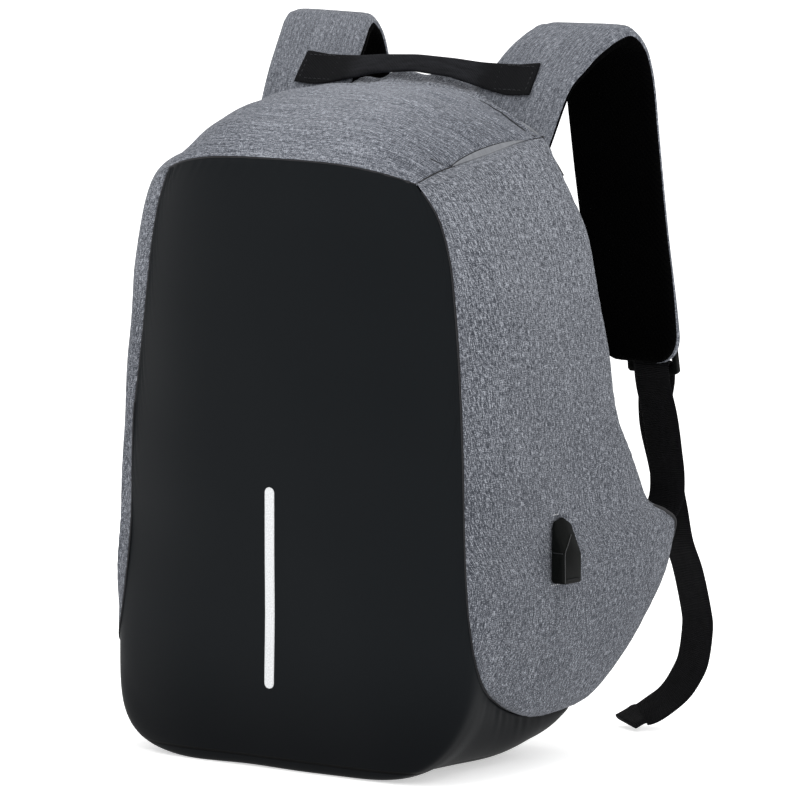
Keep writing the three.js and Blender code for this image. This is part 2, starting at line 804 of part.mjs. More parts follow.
/** A ladder lock: two rails and three bars, so that webbing can turn round a bar. */
function addBuckles() {
  const inside = webbingWidth + 1;
  const outside = inside + 2 * buckleRail;
  const high = barLow + buckleBar;
  const frame = new THREE.Shape([
    new THREE.Vector2(-outside / 2, high - buckleCorner),
    new THREE.Vector2(-outside / 2 + 1, buckleTop),
    new THREE.Vector2(outside / 2 - 1, buckleTop),
    new THREE.Vector2(outside / 2, high - buckleCorner),
    new THREE.Vector2(outside / 2 - buckleCorner, high),
    new THREE.Vector2(-outside / 2 + buckleCorner, high),
  ]);
  for (const slot of [barLow - buckleSlot, barLow - 2 * buckleSlot - buckleBar]) {
    frame.holes.push(new THREE.Path([
      new THREE.Vector2(-inside / 2, slot),
      new THREE.Vector2(-inside / 2, slot + buckleSlot),
      new THREE.Vector2(inside / 2, slot + buckleSlot),
      new THREE.Vector2(inside / 2, slot),
    ]));
  }
  const geometry = new THREE.ExtrudeGeometry(frame, { depth: buckleThickness, bevelEnabled: false });
  geometry.translate(0, 0, -buckleThickness / 2);
  geometry.applyMatrix4(new THREE.Matrix4().makeBasis(vec(1, 0, 0), padEnd.down, padEnd.out));
  const place = nearPadEnd(0, bucklePlane);
  geometry.translate(place.x, place.y, place.z);
  const buckle = outwards(mergeVertices(bareCopy(geometry), 1e-4));
  addPiece('buckle_right', buckle, mouldedBlack);
  addPiece('buckle_left', mirrored(buckle), mouldedBlack);
}

function bareCopy(geometry) {
  const bare = geometry.clone();
  bare.deleteAttribute('normal');
  bare.deleteAttribute('uv');
  return bare;
}

/** Stations that turn round a bar: from under it, over its far side, and back. */
function roundBar(along, start, turns) {
  const radius = buckleThickness / 2 + seatGap + webbingThickness / 2;
  return Array.from({ length: turns + 1 }, (_, k) => {
    const angle = (Math.PI * k) / turns;
    return nearPadEnd(
      along - start * radius * Math.sin(angle),
      bucklePlane - radius * Math.cos(angle),
    );
  });
}

const asWebbing = (middle, twist = 0) => ({
  middle, side: vec(1, -twist, 0), width: webbingWidth, thickness: webbingThickness,
});

/** A short loop sewn on the pad's face that holds the buckle by its top bar. */
function addTabs() {
  const topBar = buckleTop + buckleBar;
  const lying = seatGap + webbingThickness / 2;
  const second = lying + webbingThickness + seatGap;
  const points = [
    onPadFace(tabReach - topBar, lying),
    onPadFace(tabReach / 2 - topBar, lying),
    ...roundBar(topBar, -1, 5),
    nearPadEnd(topBar - buckleBar - 1, bucklePlane + buckleThickness / 2 + seatGap + 1),
    onPadFace(tabReach * 0.6 - topBar, second),
    onPadFace(tabReach - topBar, second),
  ];
  const tab = band(points.map((point) => asWebbing(point)));
  addPiece('buckle_tab_right', tab, webbingBlack);
  addPiece('buckle_tab_left', mirrored(tab), webbingBlack);
}

/** One length of webbing: from the wing up to the buckle, round its bar, and down again. */
function addWebbings() {
  const curvePoint = ([depth, height, half]) => (
    vec(half * halfWidth, depth * bodyDepth, height * bodyHeight)
  );
  const anchor = anchorRows.map(curvePoint);
  const tail = tailRows.map(curvePoint);
  const turn = roundBar(barLow, 1, 6);
  const rising = new THREE.CatmullRomCurve3([...anchor, nearPadEnd(barLow + webbingLead, 1.5), turn[0]])
    .getSpacedPoints(18);
  const falling = new THREE.CatmullRomCurve3([
    turn.at(-1),
    nearPadEnd(barLow + webbingLead, bucklePlane + 5),
    ...tail,
  ]);
  const hemShare = 1 - hemLength / falling.getLength();
  const tailSteps = 24;
  const twist = (k) => tailTwist * Math.min(k / 8, 1);
  const single = [
    ...[...rising.slice(0, -1), ...turn].map((point) => asWebbing(point)),
    ...Array.from({ length: tailSteps }, (_, k) => (
      asWebbing(falling.getPointAt((hemShare - 0.008) * (k + 1) / tailSteps), twist(k))
    )),
  ];
  const lift = vec(0, 0, webbingThickness * 0.7);
  const hem = [hemShare, 1].map((share) => ({
    ...asWebbing(falling.getPointAt(share).add(lift), tailTwist),
    thickness: 2.4 * webbingThickness,
  }));
  const webbing = toSolid(band([...single, ...hem])).subtract(seatSkin);
  const right = toGeometry(webbing.decompose().sort((a, b) => b.volume() - a.volume())[0]);
  addPiece('webbing_right', right, webbingBlack);
  addPiece('webbing_left', mirrored(right), webbingBlack);
}

// Zip

/** Two sliders that meet behind the handle, each with its puller lying back. */
function addZipSliders() {
  const [width, length, thickness] = sliderSize;
  const [pullWidth, pullLength, pullThickness] = pullerSize;
  for (const [name, side] of [['right', 1], ['left', -1]]) {
    const place = vec(
      (side * sliderSpacing) / 2,
      zipPlace[0] * bodyDepth,
      zipPlace[1] * bodyHeight,
    );
    const tilt = new THREE.Matrix4().makeRotationX(zipTilt);
    const top = thickness + 1;
    const slider = new THREE.BoxGeometry(width, length, 3 * thickness);
    slider.translate(0, 0, top - 1.5 * thickness);
    slider.applyMatrix4(tilt);
    slider.translate(place.x, place.y, place.z);
    const seated = toSolid(slider).subtract(seatSkin);
    addPiece(`zip_slider_${name}`, toGeometry(seated), zipMetal);
    const puller = new THREE.BoxGeometry(pullWidth, pullLength, pullThickness);
    puller.translate(0, 0, top + seatGap + pullThickness / 2);
    puller.applyMatrix4(tilt);
    puller.translate(place.x, place.y, place.z);
    addPiece(`zip_puller_${name}`, mergeVertices(bareCopy(puller), 1e-4), zipMetal);
  }
}

addBody();
addReflectiveStrip();
addShoulderTapes();
addPort();
addStraps();
addHandle();
addBuckles();
addTabs();
addWebbings();
addZipSliders();

export default backpack;
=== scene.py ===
# %% [markdown]
# # An anti-theft backpack
# A standing bag with a smooth black front, grey melange sides and dome, padded straps
# and a webbing handle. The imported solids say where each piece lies. Here every soft
# piece is worked out again as a fine surface from the same sections, and each finish is
# made from nodes. Everything is in metres, +Z up, with the black front on -Y.

# %% Tools
import math

import bmesh
import bpy
import numpy as np
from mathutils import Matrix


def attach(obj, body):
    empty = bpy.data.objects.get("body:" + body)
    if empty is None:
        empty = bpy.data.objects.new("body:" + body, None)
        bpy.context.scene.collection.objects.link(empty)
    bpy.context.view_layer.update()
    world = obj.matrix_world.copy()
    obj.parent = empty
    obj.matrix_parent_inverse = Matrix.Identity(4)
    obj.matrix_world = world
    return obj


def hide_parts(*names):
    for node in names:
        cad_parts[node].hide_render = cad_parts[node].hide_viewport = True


# %% [markdown]
# ## The camera
# The bag is seen from its front right, from a little above, through a long lens that
# keeps its edges nearly parallel. The camera comes first because everything else is
# judged through it. It circles a target by an azimuth and an elevation.

# %% Camera
azimuth, elevation = math.radians(37.0), math.radians(7.0)
camera_distance = 4.775
camera_target = np.array([0.0, 0.057, 0.2352])

camera_data = bpy.data.cameras.new("camera")
camera_data.lens = 315.0
camera_data.sensor_width = 36.0
camera_data.clip_end = 30.0
camera = bpy.data.objects.new("camera", camera_data)
bpy.context.scene.collection.objects.link(camera)
backwards = np.array([
    math.sin(azimuth) * math.cos(elevation),
    -math.cos(azimuth) * math.cos(elevation),
    math.sin(elevation),
])
camera.location = camera_target + camera_distance * backwards
camera.rotation_euler = (math.pi / 2 - elevation, 0.0, azimuth)
bpy.context.scene.camera = camera
bpy.context.scene.view_settings.view_transform = "Standard"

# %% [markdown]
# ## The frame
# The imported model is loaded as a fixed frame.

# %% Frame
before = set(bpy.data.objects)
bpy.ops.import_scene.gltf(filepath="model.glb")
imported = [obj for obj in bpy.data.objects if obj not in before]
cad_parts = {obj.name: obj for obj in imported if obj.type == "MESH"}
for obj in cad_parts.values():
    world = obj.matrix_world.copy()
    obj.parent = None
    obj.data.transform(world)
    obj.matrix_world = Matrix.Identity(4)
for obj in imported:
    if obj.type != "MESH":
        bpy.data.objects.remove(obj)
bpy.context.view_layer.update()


# %% [markdown]
# ## Node sums as Python sums
# A finish mixes noises, stripes and masks. Adding each node by hand is long and hard to
# read, so one class wraps a socket and lets sums on values be written as sums. One method
# adds any other node.


# %% Values and finishes
class Value:
    """A socket whose value can be added, taken away and multiplied."""

    def __init__(self, finish, socket):
        self.finish = finish
        self.socket = socket

    def __add__(self, other):
        return self.finish.maths("ADD", self, other)

    def __sub__(self, other):
        return self.finish.maths("SUBTRACT", self, other)

    def __mul__(self, other):
        return self.finish.maths("MULTIPLY", self, other)

    __radd__, __rmul__ = __add__, __mul__


class Finish:
    """A material: its nodes, and the one shader they feed."""

    def __init__(self, name, **fixed):
        self.material = bpy.data.materials.new(name)
        self.material.use_nodes = True
        self.tree = self.material.node_tree
        self.shader = self.tree.nodes["Principled BSDF"]
        self.feed({socket.replace("_", " "): value for socket, value in fixed.items()})

    def feed(self, inputs, into=None):
        """Links values to a node's sockets, or sets them."""
        into = into or self.shader
        for name, value in inputs.items():
            if isinstance(value, Value):
                self.tree.links.new(value.socket, into.inputs[name])
            else:
                into.inputs[name].default_value = value

    def node(self, kind, settings, inputs, output=0):
        """Adds a node, sets it, feeds its sockets and gives back one output."""
        made = self.tree.nodes.new(kind)
        settings = dict(settings)
        stops = settings.pop("stops", None)
        for name, value in settings.items():
            setattr(made, name, value)
        if stops:
            ramp = made.color_ramp
            while len(ramp.elements) < len(stops):
                ramp.elements.new(1.0)
            for element, (place, colour) in zip(ramp.elements, stops):
                element.position = place
                element.color = (*colour, 1.0)
        self.feed(inputs, made)
        return Value(self, made.outputs[output])

    def cloth(self):
        """The piece's own map: metres across and along its cloth."""
        return self.node("ShaderNodeUVMap", {"uv_map": "cloth"}, {})

    def place(self):
        """Object coordinates, which are metres in the bag's frame."""
        return self.node("ShaderNodeTexCoord", {}, {}, "Object")

    def noise(self, vector, factors, detail=2.0):
        """Noise around 0: factors say how many grains there are to a metre each way."""
        scaled = self.node("ShaderNodeVectorMath", {"operation": "MULTIPLY"}, {0: vector, 1: factors})
        sockets = {"Vector": scaled, "Scale": 1.0, "Detail": detail, "Roughness": 0.5}
        return self.node("ShaderNodeTexNoise", {"noise_dimensions": "3D"}, sockets) - 0.5

    def split(self, vector):
        """The three numbers of a vector."""
        whole = self.node("ShaderNodeSeparateXYZ", {}, {"Vector": vector})
        return [Value(self, socket) for socket in whole.socket.node.outputs]

    def maths(self, operation, *values):
        return self.node("ShaderNodeMath", {"operation": operation}, dict(enumerate(values)))

    def wave(self, value, turns):
        """A sine of this many turns to a metre."""
        return self.maths("SINE", value * (2 * math.pi * turns))

    def distance(self, value, middle=0.0):
        """How far a value is from a middle one, either way."""
        return self.maths("ABSOLUTE", value - middle)

    def coloured(self, value, stops):
        """Feeds the base colour that a ramp gives a value."""
        ramp = self.node("ShaderNodeValToRGB", {"stops": stops}, {"Fac": value})
        self.feed({"Base Color": ramp})

    def between(self, value, low, high):
        """0 below low, 1 above high, and a soft step from one to the other."""
        return self.node(
            "ShaderNodeMapRange",
            {"interpolation_type": "SMOOTHSTEP"},
            {"Value": value, "From Min": low, "From Max": high},
        )

    def blend(self, share, first, second):
        """Mixes two colours by a share."""
        return self.node(
            "ShaderNodeMix", {"data_type": "RGBA"}, {0: share, 6: first, 7: second}, 2
        )

    def relief(self, height, depth):
        """Feeds a bump of this depth in metres to the shader's normal."""
        sockets = {"Height": height, "Distance": depth, "Strength": 1.0}
        self.feed({"Normal": self.node("ShaderNodeBump", {}, sockets)})


# %% [markdown]
# ## Grey melange
# The sides, the dome and the straps are a plain weave of mixed light and dark yarns. Up
# close it is a field of short streaks along and across the cloth. Three stretched noises
# give warp, weft and specks, a wide one gives soft bands, and a ramp turns their sum into
# yarn colours. A picture of cloth would repeat and blur, but noise stays sharp at any size.
# The same sum lifts the yarns a little.


# %% Melange
def melange(name, bright, contrast, banded, painted_shoulder_shade=0.0):
    """Grey cloth: a sum of stretched noises, from dark yarn to light yarn. Painted shade makes
    it a little darker towards the ground and, where asked, towards each shoulder."""
    finish = Finish(name, Roughness=0.92, Sheen_Weight=0.05, Specular_IOR_Level=0.15)
    cloth = finish.cloth()
    warp = finish.noise(cloth, (1450.0, 260.0, 1.0))
    weft = finish.noise(cloth, (330.0, 1650.0, 1.0))
    specks = finish.noise(cloth, (1900.0, 1650.0, 1.0), detail=1.0)
    bands = finish.noise(cloth, (760.0, 26.0, 1.0))
    clouds = finish.noise(cloth, (14.0, 14.0, 1.0))
    mixed = 1.6 * warp + 1.05 * weft + 1.5 * specks + banded * bands + 0.12 * clouds
    x, _, height = finish.split(finish.place())
    # Painted light and shade: the colour is lighter higher up and darker towards the ground, and where
    # asked it is darker towards each shoulder.
    lit = 0.075 * finish.between(height, -0.02, 0.46) + 0.06 * finish.between(height, 0.24, 0.38)
    lit = lit - painted_shoulder_shade * finish.between(finish.distance(x, 0.02), 0.02, 0.085)
    yarns = 0.335 + lit + contrast * mixed
    dark, middle, light = (0.036, 0.040, 0.050), (0.143, 0.152, 0.175), (0.410, 0.430, 0.475)
    shades = [tuple(bright * part for part in shade) for shade in (dark, middle, light)]
    finish.coloured(yarns, list(zip((0.18, 0.5, 0.86), shades)))
    across, along, _ = finish.split(cloth)
    weave = finish.wave(across, 1100.0) * finish.wave(along, 1100.0)
    finish.relief(yarns + 0.12 * weave, 0.00022)
    return finish.material


# One grey cloth in three copies: the first number makes the dome's copy lighter, as painted light, and
# the straps' copy darker, as painted shade.
grey_melange = melange("grey_melange", 0.89, 1.08, 0.5)
dome_melange_painted_light = melange("grey_melange_dome_painted_light", 1.10, 0.70, 0.8, painted_shoulder_shade=0.08)
strap_melange_painted_shade = melange("grey_melange_strap_painted_shade", 0.87, 0.58, 0.7)

# %% [markdown]
# ## Coated black cloth
# The front is a black cloth with a smooth coat. It hardly shows its weave and has a wide,
# soft gloss, so a weave would be wasted on it: a very fine grain that breaks the gloss up
# is enough. Painted shade makes it darker near the ground, and a seam is pressed in where
# the base begins.

# %% Coated black
base_seam_height = 0.008
coated = Finish("coated_black", Specular_IOR_Level=0.045)
grain = coated.noise(coated.cloth(), (1500.0, 1500.0, 1.0), detail=1.0)
clouds = coated.noise(coated.place(), (9.0, 9.0, 9.0))
_, _, height = coated.split(coated.place())
open_cloth = coated.between(coated.distance(height, base_seam_height), 0.0003, 0.0012)
# Painted shade: the cloth's colour darkens towards the ground.
raised = coated.between(height, 0.0, 0.10)
cloth_colour_with_painted_shade = coated.blend(raised, (0.0026, 0.0032, 0.0040, 1), (0.0062, 0.0074, 0.0086, 1))
coated.feed({
    "Base Color": coated.blend(open_cloth, (0.002, 0.002, 0.002, 1), cloth_colour_with_painted_shade),
    "Roughness": 0.50 + 0.10 * clouds + 0.12 * grain,
})
coated.relief(0.1 * grain + open_cloth, 0.0006)

# %% [markdown]
# ## Black mesh, webbing and trims
# Air mesh has slanting ribs with small holes between them. Webbing has fine ribs across
# its length. Both are regular, so sine waves on the cloth's own map fit better than noise.
# The moulded pieces are satin plastic, and the zip's sliders are plated.


# %% Mesh
def air_mesh(name, slant, ribs, colour):
    """Ribs run along lines of equal across + slant * along; holes sit between them."""
    finish = Finish(name, Roughness=0.9, Specular_IOR_Level=0.012)
    across, along, _ = finish.split(finish.cloth())
    rib = finish.wave(across + slant * along, ribs)
    holes = finish.wave(along - slant * across, ribs * 1.15)
    hollow = finish.between(rib + 0.7 * holes, -0.5, 0.9)
    finish.feed({"Base Color": finish.blend(hollow, (0.001, 0.001, 0.001, 1), (*colour, 1))})
    finish.relief(hollow, 0.0012)
    return finish.material


strap_mesh = air_mesh("strap_mesh", 0.62, 300.0, (0.0006, 0.0006, 0.0008))
back_mesh = air_mesh("back_mesh", 1.0, 180.0, (0.0130, 0.0130, 0.0145))


# %% Webbing
def ribbed_webbing(name, colour, painted_end_shade=0.0):
    """Fine ribs across the band, each a row of slanting yarns. The ends may get painted shade."""
    finish = Finish(name, Roughness=0.75, Sheen_Weight=0.01, Specular_IOR_Level=0.045)
    across, along, _ = finish.split(finish.cloth())
    ribs = finish.wave(along, 780.0)
    yarns = finish.wave(across + 0.35 * along, 1300.0)
    worn = finish.noise(finish.cloth(), (420.0, 60.0, 1.0))
    shade = 0.55 + 0.18 * ribs + 0.12 * yarns + 0.9 * worn
    if painted_end_shade:
        # Painted shade: the band's colour is darker towards its ends.
        x, _, _ = finish.split(finish.place())
        shade = shade - painted_end_shade * finish.between(finish.distance(x), 0.045, 0.072)
    dark, light = (tuple(share * part for part in colour) for share in (0.45, 1.7))
    finish.coloured(shade, [(0.15, dark), (0.9, light)])
    finish.relief(ribs + 0.5 * yarns, 0.00025)
    return finish.material


webbing = ribbed_webbing("webbing", (0.0048, 0.0048, 0.0056))
# The handle's ends get painted shade.
handle_webbing = ribbed_webbing("handle_webbing", (0.0145, 0.0150, 0.0175), painted_end_shade=0.8)

# %% Moulded, reflective and plated
moulded = Finish("moulded_black", Roughness=0.55, Specular_IOR_Level=0.05)
scuffs = moulded.noise(moulded.place(), (900.0, 900.0, 900.0))
moulded.coloured(0.5 + scuffs, [(0.3, (0.0016, 0.0020, 0.0019)), (0.7, (0.0034, 0.0039, 0.0037))])
moulded.relief(scuffs, 0.00006)

reflective = Finish("reflective", Roughness=0.45, Specular_IOR_Level=0.5)
beads = reflective.noise(reflective.cloth(), (1300.0, 1300.0, 1.0), detail=0.0)
reflective.coloured(0.5 + beads, [(0.25, (0.50, 0.51, 0.52)), (0.7, (0.70, 0.71, 0.72))])
reflective.relief(beads, 0.00012)

seam_tape = Finish("seam_tape", Roughness=0.5)
smear = seam_tape.noise(seam_tape.cloth(), (60.0, 500.0, 1.0))
seam_tape.coloured(0.5 + smear, [(0.2, (0.125, 0.133, 0.148)), (0.8, (0.190, 0.198, 0.215))])

plated = Finish("zip_metal", Metallic=1.0, Base_Color=(0.30, 0.305, 0.31, 1))
plated.feed({"Roughness": 0.34 + 0.3 * plated.noise(plated.place(), (300.0, 300.0, 300.0))})


def plain(name, roughness, *colour):
    """A finish of one even colour."""
    return Finish(name, Roughness=roughness, Base_Color=(*colour, 1)).material


thread = plain("dark_thread", 0.8, 0.02, 0.021, 0.025)
grey_thread = plain("grey_thread", 0.8, 0.30, 0.31, 0.34)
pale_thread = plain("pale_thread", 0.8, 0.55, 0.56, 0.57)
seam_shade = plain("seam_shade", 0.95, 0.012, 0.012, 0.014)
# A lighter colour for thin tubes on the port hood's edges: painted highlight.
painted_edge_highlight = plain("moulded_edge_painted_highlight", 0.4, 0.013, 0.014, 0.015)
print("finishes:", len(bpy.data.materials))

# %% [markdown]
# ## Surfaces from grids
# Every soft piece is a grid of points, computed as one array. A box could be subdivided
# and sculpted instead, but a grid keeps its edges on the seams. The same few functions
# put a grid into a mesh, with a map of metres across and along the cloth.


# %% Grids into meshes
def stacked(*coordinates):
    """Coordinates stretched to one shape and joined into points."""
    return np.stack(np.broadcast_arrays(*coordinates), -1)


def grid_corners(rows, columns, closed):
    """The four corners of every cell of a grid, as row and column numbers."""
    wide = columns if closed else columns - 1
    row, column = np.meshgrid(np.arange(rows - 1), np.arange(wide), indexing="ij")
    rows_round = stacked(row, row, row + 1, row + 1)
    columns_round = stacked(column, column + 1, column + 1, column)
    return rows_round.reshape(-1, 4), columns_round.reshape(-1, 4)


def put_mesh(name, points, faces, cloth_map=None):
    """Makes an object of points and faces; cloth_map holds one pair for each face corner."""
    mesh = bpy.data.meshes.new(name)
    mesh.from_pydata(points, [], faces)
    mesh.polygons.foreach_set("use_smooth", np.ones(len(mesh.polygons), bool))
    if cloth_map is not None:
        layer = mesh.uv_layers.new(name="cloth")
        layer.data.foreach_set("uv", np.asarray(cloth_map, np.float32).ravel())
    mesh.update()
    made = bpy.data.objects.new(name, mesh)
    bpy.context.scene.collection.objects.link(made)
    return made


def put_grid(name, points, cloth, tube=False, flip=False):
    """A sheet, or a capped tube whose columns run round. cloth has a pair for each point."""
    rows, columns = points.shape[:2]
    row, column = grid_corners(rows, columns, tube)
    faces = row * columns + column % columns
    corners = cloth[row, column]
    if flip:
        faces, corners = faces[:, ::-1], corners[:, ::-1]
    faces = faces.tolist()
    corners = corners.reshape(-1, 2)
    if tube:
        first = list(range(columns))
        last = [(rows - 1) * columns + k for k in first]
        ends = [first, last[::-1]] if flip else [first[::-1], last]
        faces += ends
        flat = np.concatenate([np.zeros((columns, 2)), np.ones((columns, 2)) * 0.01])
        corners = np.concatenate([corners, flat])
    return put_mesh(name, points.reshape(-1, 3), faces, corners)


def dress(piece, material, slot, *stands_for):
    """Gives a piece its finish, lets it ride on the bag and says which solids it stands for."""
    piece.data.materials.clear()
    piece.data.materials.append(material)
    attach(piece, "root")
    if stands_for:
        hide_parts(*stands_for)
    return piece


def put_piece(name, points, cloth, material, slot, *stands_for, **ways):
    """A grid with its finish."""
    return dress(put_grid(name, points, cloth, **ways), material, slot, *stands_for)


def walked(points, axis):
    """Distance walked along one axis of a grid of points, from its start."""
    steps = np.linalg.norm(np.diff(points, axis=axis), axis=-1)
    start = np.zeros_like(np.take(steps, [0], axis=axis))
    return np.concatenate([start, np.cumsum(steps, axis=axis)], axis=axis)


def interpolated(places, walk, points):
    """Points at these places of a walk along a path."""
    return np.stack([np.interp(places, walk, points[:, axis]) for axis in range(3)], -1)


def unit(vectors):
    """Vectors of length 1 in the same directions."""
    return vectors / (np.linalg.norm(vectors, axis=-1, keepdims=True) + 1e-12)


def grid_normals(points, flip):
    """Unit normals: the cross product of the directions across and along."""
    normal = unit(np.cross(np.gradient(points, axis=1), np.gradient(points, axis=0)))
    return -normal if flip else normal


# %% [markdown]
# ## Curves through listed sections
# The bag's form is set by tables of sections, each a share of the bag's depth, height and
# half width. A smooth curve runs through each table, so that any place between two
# sections can be asked for. It's the curve of the solids, so both keep the same form.


# %% Curves
body_depth, body_height, half_width = 0.250, 0.450, 0.140


def curve_through(rows, spacing):
    """Between two rows each column eases by 3s² - 2s³ and leans with the slopes there."""
    rows = np.asarray(rows, float)
    knots = np.concatenate([[0.0], np.cumsum(np.sqrt(spacing(rows[:-1], rows[1:])))])
    number = np.arange(len(rows))
    before, after = np.maximum(number - 1, 0), np.minimum(number + 1, len(rows) - 1)
    slopes = (rows[after] - rows[before]) / (knots[after] - knots[before])[:, None]

    def at(share):
        place = np.clip(share, 0.0, 1.0) * knots[-1]
        k = np.clip(np.searchsorted(knots, place) - 1, 0, len(rows) - 2)
        span = (knots[k + 1] - knots[k])[..., None]
        s = (place - knots[k])[..., None] / span
        rise = s * s * (3 - 2 * s)
        lean = slopes[k] * s * (1 - s) ** 2 - slopes[k + 1] * s * s * (1 - s)
        return rows[k] * (1 - rise) + rows[k + 1] * rise + span * lean

    at.shares = knots / knots[-1]
    return at


def path_spacing(a, b, first=0):
    """Millimetres between rows whose depth and height are in two columns from first on."""
    step = (b - a)[:, first:first + 2] * [body_depth, body_height]
    return np.hypot(step[:, 0], step[:, 1]) * 1000


def band_spacing(a, b):
    return path_spacing(a, b) + path_spacing(a, b, 3)


def point_spacing(a, b):
    return np.linalg.norm(b - a, axis=1) * 1000


# %% [markdown]
# ## The bag's shell
# Three bands of cloth run round the bag between two side panels. A line across a band goes
# from seam to seam: [seam depth, seam height, seam half width, middle depth, middle
# height, power, ease]. The power says how far out the line stays full, and an ease under
# 1 turns it round steeply at the seam.

# %% Sections of the shell
wrap_rows = [
    [0.376, 0.089, 0.890, 0.404, 0.055, 2.4, 0.85],
    [0.300, 0.078, 0.907, 0.288, 0.003, 3.0, 0.60],
    [0.196, 0.076, 0.925, 0.192, -0.004, 3.6, 0.52],
    [0.088, 0.080, 0.943, 0.072, -0.004, 5.0, 0.50],
    [-0.020, 0.096, 0.971, -0.060, -0.004, 5.0, 0.50],
    [-0.117, 0.120, 1.010, -0.200, -0.004, 5.0, 0.50],
    [-0.181, 0.140, 1.050, -0.304, -0.002, 6.0, 0.50],
    [-0.222, 0.164, 1.070, -0.346, 0.009, 6.0, 0.50],
    [-0.247, 0.204, 1.066, -0.354, 0.060, 5.0, 0.66],
    [-0.258, 0.273, 1.048, -0.352, 0.178, 3.6, 0.90],
    [-0.250, 0.367, 1.020, -0.352, 0.333, 2.8, 1.00],
    [-0.241, 0.500, 0.995, -0.348, 0.489, 2.6, 1.00],
    [-0.228, 0.622, 0.957, -0.336, 0.633, 2.6, 1.00],
    [-0.224, 0.722, 0.921, -0.324, 0.744, 2.6, 1.00],
    [-0.224, 0.778, 0.893, -0.320, 0.811, 2.6, 1.00],
    [-0.232, 0.836, 0.836, -0.320, 0.867, 2.8, 1.00],
    [-0.256, 0.884, 0.743, -0.316, 0.911, 3.2, 1.00],
]
# Each table starts with the row at which the one before it ends
top_rows = [
    wrap_rows[-1],
    [-0.176, 0.898, 0.760, -0.272, 0.949, 3.6, 1.0],
    [-0.088, 0.907, 0.778, -0.176, 0.978, 3.7, 1.0],
    [0.024, 0.918, 0.800, -0.036, 0.998, 3.4, 1.0],
    [0.136, 0.930, 0.822, 0.112, 1.004, 2.8, 1.0],
    [0.244, 0.936, 0.836, 0.252, 1.003, 2.2, 1.0],
]
rear_rows = [
    top_rows[-1],
    [0.232, 0.912, 0.892, 0.300, 0.998, 2.4, 1.0],
    [0.240, 0.876, 0.950, 0.354, 1.001, 2.2, 1.0],
    [0.264, 0.833, 0.986, 0.384, 0.940, 3.0, 1.0],
    [0.296, 0.787, 1.000, 0.380, 0.850, 4.0, 1.0],
    [0.328, 0.696, 1.036, 0.396, 0.700, 4.0, 1.0],
    [0.364, 0.604, 1.057, 0.412, 0.596, 4.0, 1.0],
    [0.394, 0.513, 1.079, 0.428, 0.507, 4.0, 1.0],
    [0.436, 0.466, 1.086, 0.438, 0.462, 5.0, 1.0],
    [0.484, 0.418, 1.093, 0.444, 0.418, 7.0, 1.0],
    [0.530, 0.381, 1.093, 0.448, 0.382, 9.0, 1.0],
    [0.620, 0.361, 1.086, 0.452, 0.356, 10.0, 1.0],
    [0.674, 0.340, 1.079, 0.452, 0.335, 10.0, 1.0],
    [0.660, 0.300, 1.064, 0.448, 0.300, 10.0, 1.0],
    [0.632, 0.264, 1.050, 0.444, 0.264, 9.0, 1.0],
    [0.588, 0.227, 1.036, 0.440, 0.227, 7.0, 1.0],
    [0.526, 0.182, 1.014, 0.432, 0.182, 5.0, 1.0],
    [0.455, 0.142, 0.979, 0.420, 0.138, 4.0, 1.0],
    [0.402, 0.107, 0.929, 0.412, 0.089, 3.0, 0.9],
    wrap_rows[0],
]
# The stuffed side: height, and the half width of its fullest line
side_fullness = np.array([
    [0.10, 1.090], [0.22, 1.135], [0.34, 1.128], [0.46, 1.140],
    [0.60, 1.136], [0.72, 1.110], [0.82, 1.060], [0.92, 0.990],
])
wrap_fold = 5
side_roundness = 3.2
# The gusset takes this share of the rear band, as it does in the solids
gusset_steps, rear_steps = 4, 18

wrap_curve = curve_through(wrap_rows, band_spacing)
top_curve = curve_through(top_rows, band_spacing)
rear_curve = curve_through(rear_rows, band_spacing)
fold_share = wrap_curve.shares[wrap_fold]


def eased_share(k, steps):
    """The k-th of the shares that lie closer together near both ends."""
    even = k / steps
    return (even + (1 - np.cos(np.pi * even)) / 2) / 2


gusset_share = eased_share(gusset_steps, rear_steps)


def band_points(curve, shares, across):
    """x runs with across; depth and height swell from the seam to the middle by
    (1 - |across|^power)^ease."""
    row = np.moveaxis(curve(shares)[:, None, :], -1, 0)
    seam_depth, seam_height, seam_half, middle_depth, middle_height, power, ease = row
    swell = (1 - np.abs(across) ** power) ** ease
    return stacked(
        seam_half * half_width * across,
        (seam_depth + (middle_depth - seam_depth) * swell) * body_depth,
        np.maximum((seam_height + (middle_height - seam_height) * swell) * body_height, 0.0),
    )


def side_points(u, v):
    """A patch between the four seams of the right side, from front to rear by u and from
    bottom to top by v, swollen towards its fullest line by a superellipse."""
    seam = np.ones(1)
    bottom = band_points(wrap_curve, fold_share * (1 - u), seam)[:, 0]
    top = band_points(top_curve, u, seam)[:, 0]
    front = band_points(wrap_curve, fold_share + (1 - fold_share) * v, seam)[:, 0]
    rear = band_points(rear_curve, 1 - v, seam)[:, 0]
    across, up = u[:, None, None], v[None, :, None]
    patch = (
        bottom[:, None] * (1 - up) + top[:, None] * up
        + front[None] * (1 - across) + rear[None] * across
        - bottom[0] * (1 - across) * (1 - up) - bottom[-1] * across * (1 - up)
        - top[0] * (1 - across) * up - top[-1] * across * up
    )

    def rounded(t):
        return (1 - np.abs(2 * t - 1) ** side_roundness) ** (1 / side_roundness)

    swell = rounded(u)[:, None] * rounded(v)[None, :]
    height = patch[..., 2] / body_height
    fullest = np.interp(height, side_fullness[:, 0], side_fullness[:, 1]) * half_width
    first, second = side_fullness[0], side_fullness[1]
    low_slope = (second[1] - first[1]) / (second[0] - first[0])
    low = (first[1] + (height - first[0]) * low_slope) * half_width
    fullest = np.where(height < first[0], low, fullest)
    patch[..., 0] += (np.maximum(fullest, patch[..., 0]) - patch[..., 0]) * swell
    return patch


